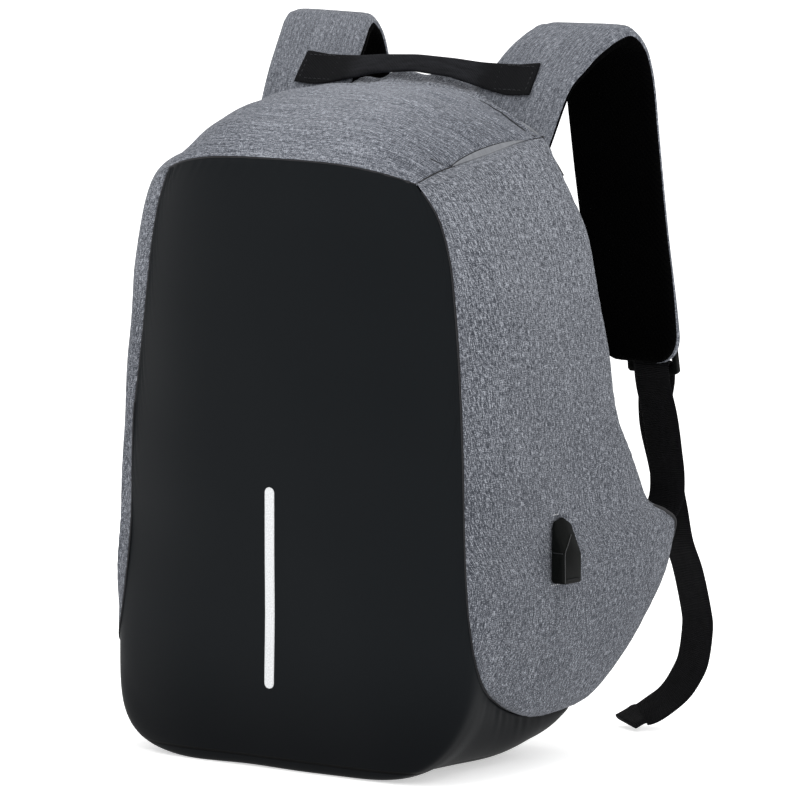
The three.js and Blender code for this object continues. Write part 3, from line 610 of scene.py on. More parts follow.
# %% [markdown]
# ## Seams and puckers
# Real panels roll in where they are sewn, and the thread gathers the cloth a little. The
# roll is a quarter circle at each edge. The puckers are waves along the seam that fade
# within a finger's breadth, and slow dents cross whole panels. A cloth simulation could
# find such shapes, but sums of sines keep the outline where it is. All draws are seeded.


# %% Seams and puckers
seam_radius = 0.0017


def quarter(distance, length, least=0.0004):
    """0 at an end and 1 a length away from it, along a quarter circle."""
    return np.sqrt(np.clip(1 - (1 - np.clip(distance / length, 0, 1)) ** 2, least, 1))


def eased(value, low, high):
    """0 below low, 1 above high, by 3s² - 2s³ between them."""
    s = np.clip((value - low) / (high - low), 0, 1)
    return s * s * (3 - 2 * s)


def bell(value, width, power=2):
    """exp(-|value / width|^power)."""
    return np.exp(-np.abs(value / width) ** power)


def ripple(along, length, seed):
    """Six sines of about this wavelength with seeded phases, scaled to a deviation of 1."""
    draw = np.random.default_rng(seed)
    waves = length * draw.uniform(0.65, 1.6, 6)
    phases = draw.uniform(0, 2 * np.pi, 6)
    turns = 2 * np.pi * np.asarray(along)[..., None] / waves + phases
    return np.sin(turns).sum(-1) / math.sqrt(3)


def dents(points, length, seed):
    """Ten plane waves in seeded directions, scaled to a deviation of 1."""
    draw = np.random.default_rng(seed)
    directions = unit(draw.normal(size=(10, 3)))
    waves = length * draw.uniform(0.7, 1.7, 10)
    phases = draw.uniform(0, 2 * np.pi, 10)
    return np.sin(points @ (directions / waves[:, None]).T * 2 * np.pi + phases).sum(-1) / math.sqrt(5)


def edge_distances(points):
    """Distance over the cloth to the first row, last row, first column and last column."""
    down, over = walked(points, 0), walked(points, 1)
    return [down, down[-1:] - down, over, over[:, -1:] - over]


def sewn(points, normal, seed, gather=0.00035, reach=0.010, length=0.011, slack=0.0005,
         rolls=(1.0, 1.0, 1.0, 1.0)):
    """Rolls a panel in at its four edges, gathers it along them and dents it slowly."""
    edges = edge_distances(points)
    roll = np.zeros(points.shape[:2])
    lift = slack * dents(points, 0.085, seed)
    for number, distance in enumerate(edges):
        rolled = 1 - quarter(distance, seam_radius, 0.0)
        roll = np.maximum(roll, rolls[number] * seam_radius * rolled)
        beside = edges[2] if number < 2 else edges[0]
        near = bell(distance, reach, 1.5)
        lift = lift + gather * near * ripple(beside, length, seed + number + 1)
    held = np.clip(np.min(edges, axis=0) / 0.004, 0, 1)
    return points + normal * (lift * held - roll)[..., None]


def fine_edged(count, length):
    """Shares from 0 to 1 of a piece this long, with short steps at both ends."""
    near = np.array([0.0, 0.35, 0.8, 1.4, 2.2, 3.3, 4.8, 6.6]) / 1000 / length
    return np.concatenate([near, np.linspace(near[-1], 1 - near[-1], count)[1:-1], 1 - near[::-1]])


# Places across a band, close together near the side seams
near_seam = np.array([0.0, 0.0025, 0.006, 0.0125, 0.022, 0.034, 0.048, 0.064, 0.082, 0.102, 0.125])
middle = np.linspace(near_seam[-1] - 1, 1 - near_seam[-1], 110)[1:-1]
across_band = np.sin(np.pi / 2 * np.concatenate([near_seam - 1, middle, 1 - near_seam[::-1]]))

# %% [markdown]
# ## Front, base and dome
# The black front wraps under the bag, so its band starts behind the base and runs to the
# top seam. The grey dome is the next band, up to the ridge above the zip. Its folds could
# be a bump in the finish, but they change the outline, so they are moved points.

# %% Front and dome
shell = {}


def band_panel(name, curve, shares, seed, **habits):
    points = band_points(curve, shares, across_band)
    normal = grid_normals(points, False)
    shell[name] = (points, normal)
    return sewn(points, normal, seed, **habits)


def warp_along(points):
    """A map whose long yarns run up the grid's rows."""
    return stacked(points[..., 0], walked(points, 0))


def warp_across(points):
    """A map whose long yarns run across, as on the dome."""
    return stacked(walked(points, 0), points[..., 0])


front = band_panel("front", wrap_curve, fine_edged(250, 0.66), 3, gather=0.00022, slack=0.0004)
front[..., 2] = np.maximum(front[..., 2], 0.0)
put_piece(
    "front_cloth", front, warp_along(front), coated.material, "coated_black",
    "front_panel", "base_panel",
)

dome = band_panel(
    "dome", top_curve, fine_edged(150, 0.165), 11,
    gather=0.00030, slack=0.0006, rolls=(1.0, 0.35, 1.0, 1.0),
)
dome_down, dome_up, _, _ = edge_distances(dome)
dome_x = dome[..., 0]
groove_place = 0.0056
groove = bell(dome_up - groove_place, 0.0012) - 0.5 * bell(dome_up - 0.0025, 0.002)
# Two slack folds run from the right shoulder towards the middle of the ridge
fold_lines = ((0.088, -0.42, 0.009, 0.0016), (0.040, -0.20, 0.013, 0.0012))
folds = np.zeros_like(dome_x)
for start, lean, width, deep in fold_lines:
    folds = folds + deep * bell(dome_x - start - lean * (dome_down - 0.06), width)
folds = folds * np.sin(np.pi * np.clip(dome_down / 0.15, 0, 1)) ** 2
# Shallow waves lie along the ridge, and one crease is pinched in from the shoulder seam
folds = folds + 0.00045 * ripple(dome_down + 0.05 * dome_x, 0.026, 17)
pinch_start, pinch_end = np.array([0.109, -0.029]), np.array([0.098, -0.040])
pinch_way = unit(pinch_end - pinch_start)
from_pinch = dome[..., :2] - pinch_start
along_pinch = from_pinch @ pinch_way
beside_pinch = from_pinch @ np.array([-pinch_way[1], pinch_way[0]])
fading = np.clip(1 - along_pinch / 0.020, 0, 1)
pinch = bell(beside_pinch, 0.0016) - 0.5 * bell(beside_pinch - 0.004, 0.0025)
dome = dome - shell["dome"][1] * (0.0012 * groove + folds + 0.0024 * fading * pinch)[..., None]
put_piece("dome_cloth", dome, warp_across(dome), dome_melange_painted_light, "grey_melange", "top_panel")
print("front points:", front.shape[:2], "dome points:", dome.shape[:2])

# %% [markdown]
# ## Gusset and back
# Behind the ridge a loose strip of grey cloth holds the zip. It bunches up into a low
# hump with folds that run down to the zip, which bell curves across the strip give. The
# padded back below it is black mesh, on the rest of the same band.

# %% Gusset and back
zip_share = rear_curve.shares[2]
hump_height, fold_height = 0.0050, 0.0008


def gusset_points(shares, across):
    """The rear band, raised into a hump behind the ridge, with folds across the hump."""
    points = band_points(rear_curve, shares, across)
    normal = grid_normals(points, False)
    part = shares[:, None] / gusset_share
    x = points[..., 0]
    hump = bell(x + 0.004, 0.040, 2.6) + 0.95 * bell(np.abs(x) - 0.050, 0.017)
    rise = np.sin(np.pi * np.clip(part, 0, 1)) ** 0.8
    folds = ripple(x + 0.012 * part, 0.026, 41) * bell(x, 0.085, 4)
    lift = rise * (hump_height * hump + fold_height * folds)
    return points + normal * lift[..., None], normal


gusset_raw, gusset_normal = gusset_points(gusset_share * fine_edged(60, 0.075), across_band)
shell["gusset"] = (gusset_raw, gusset_normal)
gusset = sewn(gusset_raw, gusset_normal, 23, gather=0.00025, reach=0.014, length=0.016, slack=0.0006)
put_piece("gusset_cloth", gusset, warp_along(gusset), grey_melange, "grey_melange", "rear_gusset")

back_shares = gusset_share + (1 - gusset_share) * fine_edged(170, 0.42)
back = band_panel("back", rear_curve, back_shares, 31, gather=0.0003, reach=0.012, slack=0.0008)
put_piece("back_cloth", back, warp_along(back), back_mesh, "back_mesh", "back_panel")
print("gusset points:", gusset.shape[:2], "back points:", back.shape[:2])

# %% [markdown]
# ## Sides
# Each side is one stuffed panel from the front seam to the back seam, and its lower rear
# corner is drawn out into the wing that holds the strap. A patch between the four seams
# meets its neighbours exactly, which a separate form would not. The left side is the right
# one mirrored, so its faces are turned round.


# %% Sides
def steep_ended(count):
    """Shares that crowd towards 0 and 1, where the panel turns over its seams."""
    even = np.linspace(0, 1, count)
    near, far = even ** 2.2, (1 - even) ** 2.2
    return near / (near + far)


side_raw = side_points(steep_ended(170), steep_ended(250))
side_normal = grid_normals(side_raw, True)
shell["side"] = (side_raw, side_normal)
side = sewn(side_raw, side_normal, 57, gather=0.00014, reach=0.011, slack=0.0006)
side_over, side_up = walked(side_raw, 0), walked(side_raw, 1)
side_map = stacked(side_over - side_over[[85]], side_up - side_up[:, [125]])
flip_x = np.array([-1.0, 1.0, 1.0])
both_sides = (("right", False), ("left", True))


def turned_over(points, mirrored):
    """The same points on the left side, where mirrored."""
    return points * flip_x if mirrored else points


for side_name, mirrored in both_sides:
    put_piece(
        f"side_cloth_{side_name}", turned_over(side, mirrored), side_map + 0.4 * mirrored,
        grey_melange, "grey_melange", f"side_panel_{side_name}", flip=not mirrored,
    )
print("side points:", side.shape[:2], "widest:", round(float(side[..., 0].max()), 4))

# %% [markdown]
# ## Seam allowances
# Between two rolled edges a dark gap shows, closed by the cloth that is sewn inside. The
# folded cloth could be modelled, but no one sees it: a thin tube stands for it, near black
# as painted shade, except along the ridge, where it has the tape's grey.


# %% Seam tubes
def tube_round(path, radius, count=8):
    """Rings round a path, square to it."""
    along = unit(np.gradient(path, axis=0))
    first = unit(np.cross(along, [0.3, 0.5, 0.81]))[:, None]
    second = np.cross(along[:, None], first)
    turn = np.linspace(0, 2 * np.pi, count, endpoint=False)[None, :, None]
    return path[:, None] + radius * (np.cos(turn) * first + np.sin(turn) * second)


def put_tube(name, rings, material, slot):
    """A closed tube of rings. Its map runs 10 mm round it and the true length along it."""
    around = np.linspace(0, 0.01, rings.shape[1] + 1)
    cloth = stacked(around[None], walked(rings, 0)[:, :1])
    return put_piece(name, rings, cloth, material, slot, tube=True)


def seam_normals(path, panel):
    """The panel's normals at the edge points that lie nearest to a path."""
    points, normal = shell[panel]
    edge = np.concatenate([points[1], points[-2], points[:, 1], points[:, -2]])
    edge_normal = np.concatenate([normal[1], normal[-2], normal[:, 1], normal[:, -2]])
    distance = ((path[:, None] - edge[None]) ** 2).sum(-1)
    return edge_normal[distance.argmin(1)]


def seam_tube(name, path, first, second, mirrored=False, material=seam_shade):
    """A tube sunk under the cloth along the mean of the two panels' normals."""
    sunk = path - 0.0015 * unit(seam_normals(path, first) + seam_normals(path, second))
    return put_tube(name, tube_round(turned_over(sunk, mirrored), 0.0013), material, "seam_tape")


seam_end = np.ones(1)
even_shares = np.linspace(0, 1, 240)
side_seams = {
    "front": (wrap_curve, even_shares),
    "dome": (top_curve, even_shares),
    "gusset": (rear_curve, gusset_share * even_shares),
    "back": (rear_curve, gusset_share + (1 - gusset_share) * even_shares),
}
for seam_name, (curve, shares) in side_seams.items():
    path = band_points(curve, shares, seam_end)[3:-3, 0]
    for side_name, mirrored in both_sides:
        seam_tube(f"seam_{seam_name}_{side_name}", path, seam_name, "side", mirrored)
cross_seams = {
    "top": (wrap_curve, 1.0, "front", "dome"),
    "ridge": (top_curve, 1.0, "dome", "gusset"),
    "under": (wrap_curve, 0.0, "front", "back"),
}
for seam_name, (curve, share, first, second) in cross_seams.items():
    path = band_points(curve, np.array([share]), across_band)[0]
    material = seam_tape.material if seam_name == "ridge" else seam_shade
    seam_tube(f"seam_{seam_name}", path, first, second, material=material)
print("seams:", 2 * len(side_seams) + len(cross_seams))

# %% [markdown]
# ## Shoulder straps
# A strap is a foam pad in a grey sleeve, lined with black mesh. It comes out of the
# gusset, goes over the crest and hangs behind the bag. Each section is a flattened oval:
# [depth, height, half width of the outer edge, width share].

# %% Sections of a strap
strap_rows = [
    [0.208, 0.898, 0.864, 1.00],
    [0.230, 0.931, 0.882, 1.00],
    [0.298, 1.007, 0.907, 1.00],
    [0.344, 1.038, 0.936, 1.00],
    [0.384, 1.061, 0.961, 1.00],
    [0.442, 1.084, 1.004, 1.00],
    [0.496, 1.091, 1.032, 1.00],
    [0.552, 1.070, 1.043, 0.99],
    [0.584, 1.038, 1.046, 0.98],
    [0.604, 1.000, 1.046, 0.97],
    [0.616, 0.947, 1.050, 0.96],
    [0.640, 0.864, 1.050, 0.95],
    [0.666, 0.771, 1.054, 0.93],
    [0.696, 0.678, 1.061, 0.91],
    [0.716, 0.600, 1.064, 0.87],
    [0.724, 0.576, 1.043, 0.74],
]
strap_width, pad_thickness, mesh_thickness, seat_gap = 0.071, 0.009, 0.0024, 0.0003
strap_curve = curve_through(strap_rows, path_spacing)


def strap_stations(shares):
    """The strap's outer face: its points, the way down it, the way out of it, its edges."""
    depth, height, outer, width = np.moveaxis(strap_curve(shares), -1, 0)
    step = 1e-3
    ahead, behind = strap_curve(shares + step), strap_curve(shares - step)
    down = unit((ahead - behind)[:, [3, 0, 1]] * [0.0, body_depth, body_height])
    out = stacked(0.0, -down[:, 2], down[:, 1])
    face = stacked(0.0, depth * body_depth, height * body_height)
    outer = outer * half_width
    return face, down, out, outer - strap_width * width, outer


corner_length, inner_corner, outer_corner = 0.022, 0.010, 0.016
root_start, root_end = 0.040, 0.095


def oval_layer(shares, top, thickness, margin, crown_power, round_end, rim=0.0, root=0.3):
    """Rings round a layer of the strap. A ring's two faces are crowned by
    (1 - |x|^power)^0.5. The root is only this share as thick, and each corner at the end is
    rounded in its own quarter, the outer one wider than the inner one. The rim is how much
    the outer edge draws in towards the end."""
    face, _, out, inner, outer = strap_stations(shares)
    across = np.sin(np.pi / 2 * np.linspace(-1, 1, 29))
    ring_x = np.concatenate([across, across[-2:0:-1]])
    side = np.concatenate([np.ones(len(across)), -np.ones(len(across) - 2)])
    crown = side * (1 - np.abs(ring_x) ** crown_power) ** 0.5
    length = walked(face, 0)
    from_end = length[-1] - length
    shrink = quarter(from_end, round_end)
    corner = 1 - quarter(from_end, corner_length)
    inner = inner + margin + inner_corner * corner
    outer = outer - margin - outer_corner * corner - rim * (1 - eased(from_end, 0.0, 0.07))
    x = (inner + outer)[:, None] / 2 + (outer - inner)[:, None] / 2 * ring_x[None]
    full = (root + (1 - root) * eased(length, root_start, root_end))[:, None]
    thick, top = thickness * full, top * full
    depth = top + thick / 2 * (1 - crown[None] * shrink[:, None])
    points = face[:, None] - out[:, None] * depth[..., None]
    points[..., 0] = x
    around = np.concatenate([[0], np.cumsum(np.abs(np.diff(np.append(ring_x, ring_x[0]))))])
    cloth = stacked(around[None] * strap_width / 2, length[:, None])
    return points, cloth, side, ring_x


# %% [markdown]
# The pad is puffed by a short cloth simulation: pressure inside, with the edges, the
# lined side and the places where the handle and the buckle's loop are sewn held still.
# The grid keeps its own faces, so the weave stays in place. No point may move far.


# %% Puffed pads
def puffed(name, points, cloth, pins, pressure, reach):
    """Simulates a closed grid under pressure and gives back its moved points."""
    rows, columns = points.shape[:2]
    trial = put_grid(name, points, cloth, tube=True)
    held = trial.vertex_groups.new(name="held")
    for number in np.flatnonzero(pins.ravel()):
        held.add([int(number)], 1.0, "REPLACE")
    soft = trial.modifiers.new("puff", "CLOTH")
    for setting, value in {
        "quality": 6, "mass": 0.25, "tension_stiffness": 18, "compression_stiffness": 14,
        "bending_stiffness": 0.6, "vertex_group_mass": "held", "use_pressure": True,
        "uniform_pressure_force": pressure,
    }.items():
        setattr(soft.settings, setting, value)
    soft.settings.effector_weights.gravity = 0.0
    last_frame = 20
    soft.point_cache.frame_start, soft.point_cache.frame_end = 1, last_frame
    for number in range(1, last_frame + 1):
        bpy.context.scene.frame_set(number)
    shown = trial.evaluated_get(bpy.context.evaluated_depsgraph_get())
    moved = np.zeros(rows * columns * 3, np.float32)
    shown.data.vertices.foreach_get("co", moved)
    bpy.data.objects.remove(trial)
    bpy.context.scene.frame_set(1)
    move = moved.reshape(points.shape) - points
    size = np.linalg.norm(move, axis=-1, keepdims=True)
    return points + move * np.minimum(1, reach / np.maximum(size, 1e-9))


handle_height = 1.015 * body_height
strap_shares = np.linspace(0, 1, 150)
pad, pad_cloth, pad_side, pad_ring = oval_layer(
    strap_shares, seat_gap, 0.0072, -0.0014, 12.0, 0.007
)
face, down, out, inner, outer = strap_stations(strap_shares)
crest = int(face[:, 2].argmax())
strap_walk = walked(face, 0)
handle_hold, loop_hold = 0.013, 0.026
near_handle = (np.abs(face[:, 2] - handle_height) < handle_hold) & (np.arange(len(face)) < crest)
near_loop = strap_walk[-1] - strap_walk < loop_hold
pins = (pad_side < 0)[None] | (np.abs(pad_ring) > 0.93)[None]
pins = pins | (near_handle[:, None] & (pad_ring < 0.75)[None])
pins = pins | (near_loop[:, None] & (np.abs(pad_ring) < 0.5)[None])
pins[:6] = True
pad = puffed("pad_trial", pad, pad_cloth, pins, 4.0, 0.0022)
# Wrinkles across the inside of the bend, and a slow unevenness of the foam
bend = bell(strap_walk - strap_walk[crest], 0.05)[:, None]
wrinkle = 0.0002 * dents(pad, 0.05, 71) + 0.00035 * bend * ripple(walked(pad, 0), 0.013, 72)
crown = 0.0022 * bend * (1 - np.abs(pad_ring) ** 12)
lifted = (pad_side > 0) * (wrinkle * (1 - np.abs(pad_ring) ** 6) + crown)
pad = pad + out[:, None] * lifted[..., None]
lining, lining_cloth, _, _ = oval_layer(
    np.linspace(0, 0.996, 150), 0.0013, pad_thickness + mesh_thickness - 0.0011, -0.0016, 12.0, 0.006,
    rim=0.0012, root=0.45,
)
for side_name, mirrored in both_sides:
    cushion = put_piece(
        f"strap_cushion_{side_name}", turned_over(pad, mirrored), pad_cloth + 0.2,
        strap_melange_painted_shade, "grey_melange", f"strap_pad_{side_name}", tube=True, flip=not mirrored,
    )
    put_piece(
        f"strap_lining_{side_name}", turned_over(lining, mirrored), lining_cloth,
        strap_mesh, "strap_mesh", f"strap_mesh_{side_name}", tube=True, flip=not mirrored,
    )
print("pad points:", pad.shape[:2], "length:", round(float(strap_walk[-1]), 3))


# %% [markdown]
# ## Bands of webbing
# Handle, buckle loops and tails are flat woven bands. A curve with a bevel twists where
# its path bends, so a rounded flat section is carried along the path here, square to it.


# %% Bands
def flat_ring(width, thickness):
    """A flat section with round edges: x = cos^0.25, y = sin^0.8, each with its sign."""
    turn = np.linspace(0, 2 * np.pi, 24, endpoint=False) + np.pi / 24
    x, y = (
        np.sign(wave) * np.abs(wave) ** power
        for wave, power in ((np.cos(turn), 0.25), (np.sin(turn), 0.8))
    )
    return x[None] * width[:, None] / 2, y[None] * thickness[:, None] / 2


def band_round(path, side, width, thickness):
    """Rings of a flat section along a path; side says which way its width runs."""
    along = unit(np.gradient(path, axis=0))
    lateral = unit(side - (side * along).sum(1, keepdims=True) * along)
    normal = np.cross(along, lateral)
    x, y = flat_ring(width, thickness)
    rings = path[:, None] + lateral[:, None] * x[..., None] + normal[:, None] * y[..., None]
    around = np.append(x, x[:, :1] + 1e-4, axis=1)
    return rings, stacked(around, walked(path, 0)[:, None])


def resampled(points, count):
    """Even steps along a smooth curve through the points."""
    curve = curve_through(points, point_spacing)
    fine = curve(np.linspace(0, 1, 40 * len(points)))
    length = walked(fine, 0)
    return interpolated(np.linspace(0, length[-1], count), length, fine)


def smoothed(values):
    """Each value becomes the mean of the 17 round it, weighted by a raised cosine."""
    weights = np.hanning(17)
    return np.convolve(np.pad(values, 8, mode="edge"), weights / weights.sum(), "valid")


def put_band(name, path, side, width, thickness, material, slot, *stands_for,
             mirrored=False, raised=0.0):
    """A band; each of the numbers may be one for the whole path or one for each place."""
    width, thickness, raised = (np.broadcast_to(part, len(path)) for part in (width, thickness, raised))
    rings, cloth = band_round(path, np.broadcast_to(side, path.shape), width, thickness)
    rings[..., 2] += raised[:, None]
    ways = {"tube": True, "flip": mirrored}
    put_piece(name, turned_over(rings, mirrored), cloth, material, slot, *stands_for, **ways)


# %% [markdown]
# ## Handle
# Its flat ends are sewn on the straps' faces. Between them the band folds in on itself
# and stands a little higher, so its lower edge makes an arch. A table says how wide and
# thick it is at each place, as one bent box would not fold.

# %% Handle
handle_length, handle_width, folded_width, handle_thickness = 0.198, 0.025, 0.013, 0.002
handle_lift = 0.0065
rise_shares = np.linspace(0, strap_shares[crest], 600)
rise_face, rise_down, rise_out, rise_inner, _ = strap_stations(rise_shares)
seat = int((rise_face[:, 2] < handle_height).sum()) - 1
end_middle = rise_face[seat] + rise_out[seat] * (seat_gap + handle_thickness / 2)
free = rise_inner[seat] * 2 / handle_length
# Share of the half length, share of the lift, how flat it lies, layers of webbing
handle_rows = np.array([
    [1.0, 0.10, 1.04, 1.0],
    [free + 0.26, -0.15, 0.98, 1.0],
    [free + 0.12, 0.0, 0.76, 1.2],
    [free - 0.05, 0.25, 0.40, 1.8],
    [free - 0.25, 0.70, 0.12, 2.0],
    [0.0, 1.0, 0.0, 2.0],
])[::-1]
reach = np.linspace(-1, 1, 181)
lift, flat, layers = (
    smoothed(np.interp(np.abs(reach), handle_rows[:, 0], handle_rows[:, k])) for k in (1, 2, 3)
)
handle_path = end_middle + rise_out[seat] * ((layers - 1) * handle_thickness / 2)[:, None]
handle_path = handle_path + stacked(reach * handle_length / 2, 0.0, lift * handle_lift)
put_band(
    "carry_handle", handle_path, -rise_down[seat],
    folded_width + (handle_width - folded_width) * flat, handle_thickness * layers,
    handle_webbing, "webbing", "handle",
)
print("handle length:", round(float(walked(handle_path, 0)[-1]), 3))

# %% [markdown]
# ## Buckle, loop and webbing
# The buckle is a ladder lock. A loop of webbing sewn on the pad's face holds its top bar.
# One length of webbing rises from the bag's wing, turns round the lowest bar and falls
# back as the tail, which ends in a folded hem on the ground. Its route is a list of
# points, because a simulated fall would not land where the photo shows it.

# %% Routes of the webbing
webbing_width, webbing_thickness, hem_length = 0.029, 0.0018, 0.013
buckle_thickness, buckle_bar, buckle_slot, bar_low = 0.004, 0.004, 0.008, 0.004
tab_reach, tail_twist = 0.022, 0.14
buckle_top = bar_low - 2 * buckle_slot - 2 * buckle_bar
buckle_plane = 2 * seat_gap + webbing_thickness + buckle_thickness / 2
anchor_rows = [
    [0.448, 0.306, 0.850],
    [0.540, 0.306, 0.870],
    [0.630, 0.313, 0.900],
    [0.700, 0.334, 0.925],
    [0.738, 0.364, 0.945],
    [0.746, 0.400, 0.943],
    [0.746, 0.440, 0.922],
    [0.748, 0.490, 0.885],
]
tail_rows = [
    [0.774, 0.480, 0.857],
    [0.776, 0.420, 0.900],
    [0.778, 0.355, 0.935],
    [0.785, 0.304, 0.957],
    [0.822, 0.253, 0.974],
    [0.862, 0.182, 0.980],
    [0.868, 0.156, 0.978],
    [0.866, 0.111, 0.958],
    [0.858, 0.086, 0.930],
    [0.842, 0.060, 0.885],
    [0.818, 0.038, 0.822],
    [0.792, 0.020, 0.735],
    [0.752, 0.009, 0.695],
]
*_, end_inner, end_outer = strap_stations(np.array([0.97]))
buckle_middle = float(end_inner[0] + end_outer[0]) / 2
pad_faces = strap_stations(np.linspace(1, 0.6, 900))
pad_walk = walked(pad_faces[0], 0)


def pad_face_at(back):
    """The pad's face this far up from its end: its point and its outward normal."""
    k = int(np.searchsorted(pad_walk, back))
    return pad_faces[0][k], pad_faces[2][k]


end_point = pad_faces[0][0]
end_down = unit(end_point - pad_face_at(-buckle_top)[0])
end_out = np.array([0.0, -end_down[2], end_down[1]])


def near_end(along, lift):
    """A point past the pad's end by along, and out from its face by lift."""
    point = end_point + end_down * along + end_out * lift
    return stacked(buckle_middle, *point[1:])


def on_pad(back, lift):
    """A point on the pad's face, this far up from its end and this far off it."""
    point, normal = pad_face_at(max(back, 0.0))
    return stacked(buckle_middle, *(point + normal * lift)[1:])


def round_bar(along, start, turns):
    """Half a turn round a bar, from under it to over it."""
    radius = buckle_thickness / 2 + seat_gap + webbing_thickness / 2
    angles = np.pi * np.arange(turns + 1) / turns
    return [
        near_end(along - start * radius * math.sin(angle), buckle_plane - radius * math.cos(angle))
        for angle in angles
    ]


def from_shares(rows):
    """Points from rows of depth, height and half width."""
    return np.array(rows)[:, [2, 0, 1]] * [half_width, body_depth, body_height]


lying = seat_gap + webbing_thickness / 2
second_layer = lying + webbing_thickness + seat_gap
top_bar = buckle_top + buckle_bar
loop_points = np.array([
    on_pad(tab_reach - top_bar, lying),
    on_pad(tab_reach / 2 - top_bar, lying),
    *round_bar(top_bar, -1, 5),
    near_end(top_bar - buckle_bar - 0.001, buckle_plane + buckle_thickness / 2 + seat_gap + 0.001),
    on_pad(tab_reach * 0.6 - top_bar, second_layer),
    on_pad(tab_reach - top_bar, second_layer),
])
turn_points = round_bar(bar_low, 1, 6)
webbing_points = np.concatenate([
    from_shares(anchor_rows),
    [near_end(bar_low + 0.014, 0.0015)],
    turn_points,
    [near_end(bar_low + 0.014, buckle_plane + 0.005)],
    from_shares(tail_rows),
])

# %% Loops and webbing
# The buckle hangs a little outside the middle of the pad, and its tail a little inside it
buckle_shift, tail_shift, loop_extra = 0.0022, 0.0045, 0.0085
webbing_path = resampled(webbing_points, 420)
webbing_walk = walked(webbing_path, 0)
turned = int(np.argmin(((webbing_path - turn_points[-1]) ** 2).sum(1)))
from_buckle = np.abs(webbing_walk - webbing_walk[turned])
webbing_path[:, 0] += buckle_shift * (1 - eased(from_buckle, 0.02, 0.10))
hanging = (webbing_walk > webbing_walk[turned]) * eased(from_buckle, 0.0, 0.03)
webbing_path[:, 0] -= tail_shift * hanging * (1 - eased(from_buckle, 0.04, 0.12))
tail_walk = np.clip((webbing_walk - webbing_walk[turned]) / 0.09, 0, 1)
webbing_side = stacked(1.0, -tail_twist * tail_walk, 0.0)
hem = np.clip((webbing_walk - webbing_walk[-1] + hem_length) / 0.0012, 0, 1)
webbing_thick = webbing_thickness * (1 + 1.4 * hem)
loop_path = resampled(loop_points, 70) + np.array([buckle_shift, 0, 0])
for side_name, mirrored in both_sides:
    put_band(
        f"buckle_loop_{side_name}", loop_path, [1.0, 0, 0], webbing_width + loop_extra,
        webbing_thickness, webbing, "webbing", f"buckle_tab_{side_name}", mirrored=mirrored,
    )
    put_band(
        f"strap_webbing_{side_name}", webbing_path, webbing_side, webbing_width,
        webbing_thick, webbing, "webbing", f"webbing_{side_name}", mirrored=mirrored,
        raised=0.7 * webbing_thickness * hem,
    )
print("webbing length:", round(float(webbing_walk[-1]), 3))
print("loop length:", round(float(walked(loop_path, 0)[-1]), 3))


# %% [markdown]
# ## Moulded and metal pieces
# The buckles, the port's hood and the zip's sliders already have their shape in the
# solids, so they aren't made again. A copy of each is merged, its flat faces are joined up
# and its edges are bevelled.

# %% Bevelled copies
def softened(name, node, width, material, slot, grown=1.0, moved=0.0):
    """A merged copy of a solid with round edges, grown about its middle and moved
    outwards along x."""
    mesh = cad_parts[node].data.copy()
    places = np.array([corner.co for corner in mesh.vertices])
    centre = (places.max(0) + places.min(0)) / 2
    places = centre + (places - centre) * np.array(grown)
    places[:, 0] += moved * np.sign(centre[0])
    mesh.vertices.foreach_set("co", places.ravel())
    piece = bpy.data.objects.new(name, mesh)
    bpy.context.scene.collection.objects.link(piece)
    work = bmesh.new()
    work.from_mesh(mesh)
    bmesh.ops.remove_doubles(work, verts=work.verts, dist=1e-6)
    bmesh.ops.dissolve_limit(
        work, angle_limit=math.radians(2), verts=work.verts, edges=work.edges
    )
    work.to_mesh(mesh)
    work.free()
    edge = piece.modifiers.new("edge", "BEVEL")
    edge.width, edge.segments, edge.limit_method = width, 3, "ANGLE"
    edge.angle_limit = math.radians(25)
    edge.harden_normals = True
    mesh.polygons.foreach_set("use_smooth", np.ones(len(mesh.polygons), bool))
    return dress(piece, material, slot, node)


plastic, metal = (moulded.material, "moulded_black"), (plated.material, "zip_metal")
buckle_growth = (1.10, 1.0, 1.10)
for side_name, _ in both_sides:
    softened(
        f"ladder_lock_{side_name}", f"buckle_{side_name}", 0.0008, *plastic,
        buckle_growth, buckle_shift,
    )
    softened(f"slider_{side_name}", f"zip_slider_{side_name}", 0.0010, *metal)
    softened(f"puller_{side_name}", f"zip_puller_{side_name}", 0.0006, *metal)
softened("port_hood", "usb_port_cover", 0.0012, *plastic)

# %% [markdown]
# ## Trims on the cloth
# The reflective strip lies on the front, and a crescent of smooth tape shows along the
# rear half of each shoulder seam. On the left the grey side laps round the foot of the
# front. Paint on the cloth would have no edge, so each is a thin sheet that follows the
# cloth below.


# %% Strip and tapes
def raised_sheet(points, normal, lift, roll):
    """A sheet lifted off the cloth, whose edges come down to it in a quarter circle."""
    nearest = np.min(edge_distances(points), axis=0)
    return points + normal * (lift * quarter(nearest, roll, 0.0) - 0.0002)[..., None]


strip_width, strip_length, strip_bottom = 0.008, 0.136, 0.122 * body_height
front_middle = front[:, front.shape[1] // 2]
climbing = front_middle[int(front_middle[:, 2].argmin()) + 20:]
strip_z = strip_bottom + strip_length * np.linspace(0, 1, 241)
from_ends = np.minimum(strip_z - strip_bottom, strip_bottom + strip_length - strip_z)
strip_half = strip_width / 2 * quarter(from_ends, strip_width / 2, 1e-4)
strip_x = strip_half[:, None] * np.sin(np.pi / 2 * np.linspace(-1, 1, 13))[None]
strip_y = np.interp(strip_z, climbing[:, 2], climbing[:, 1])
strip = stacked(strip_x, strip_y[:, None], strip_z[:, None])
strip = raised_sheet(strip, grid_normals(strip, False), 0.0008, 0.0007)
put_piece(
    "glow_strip", strip, warp_along(strip), reflective.material, "reflective", "reflective_strip"
)


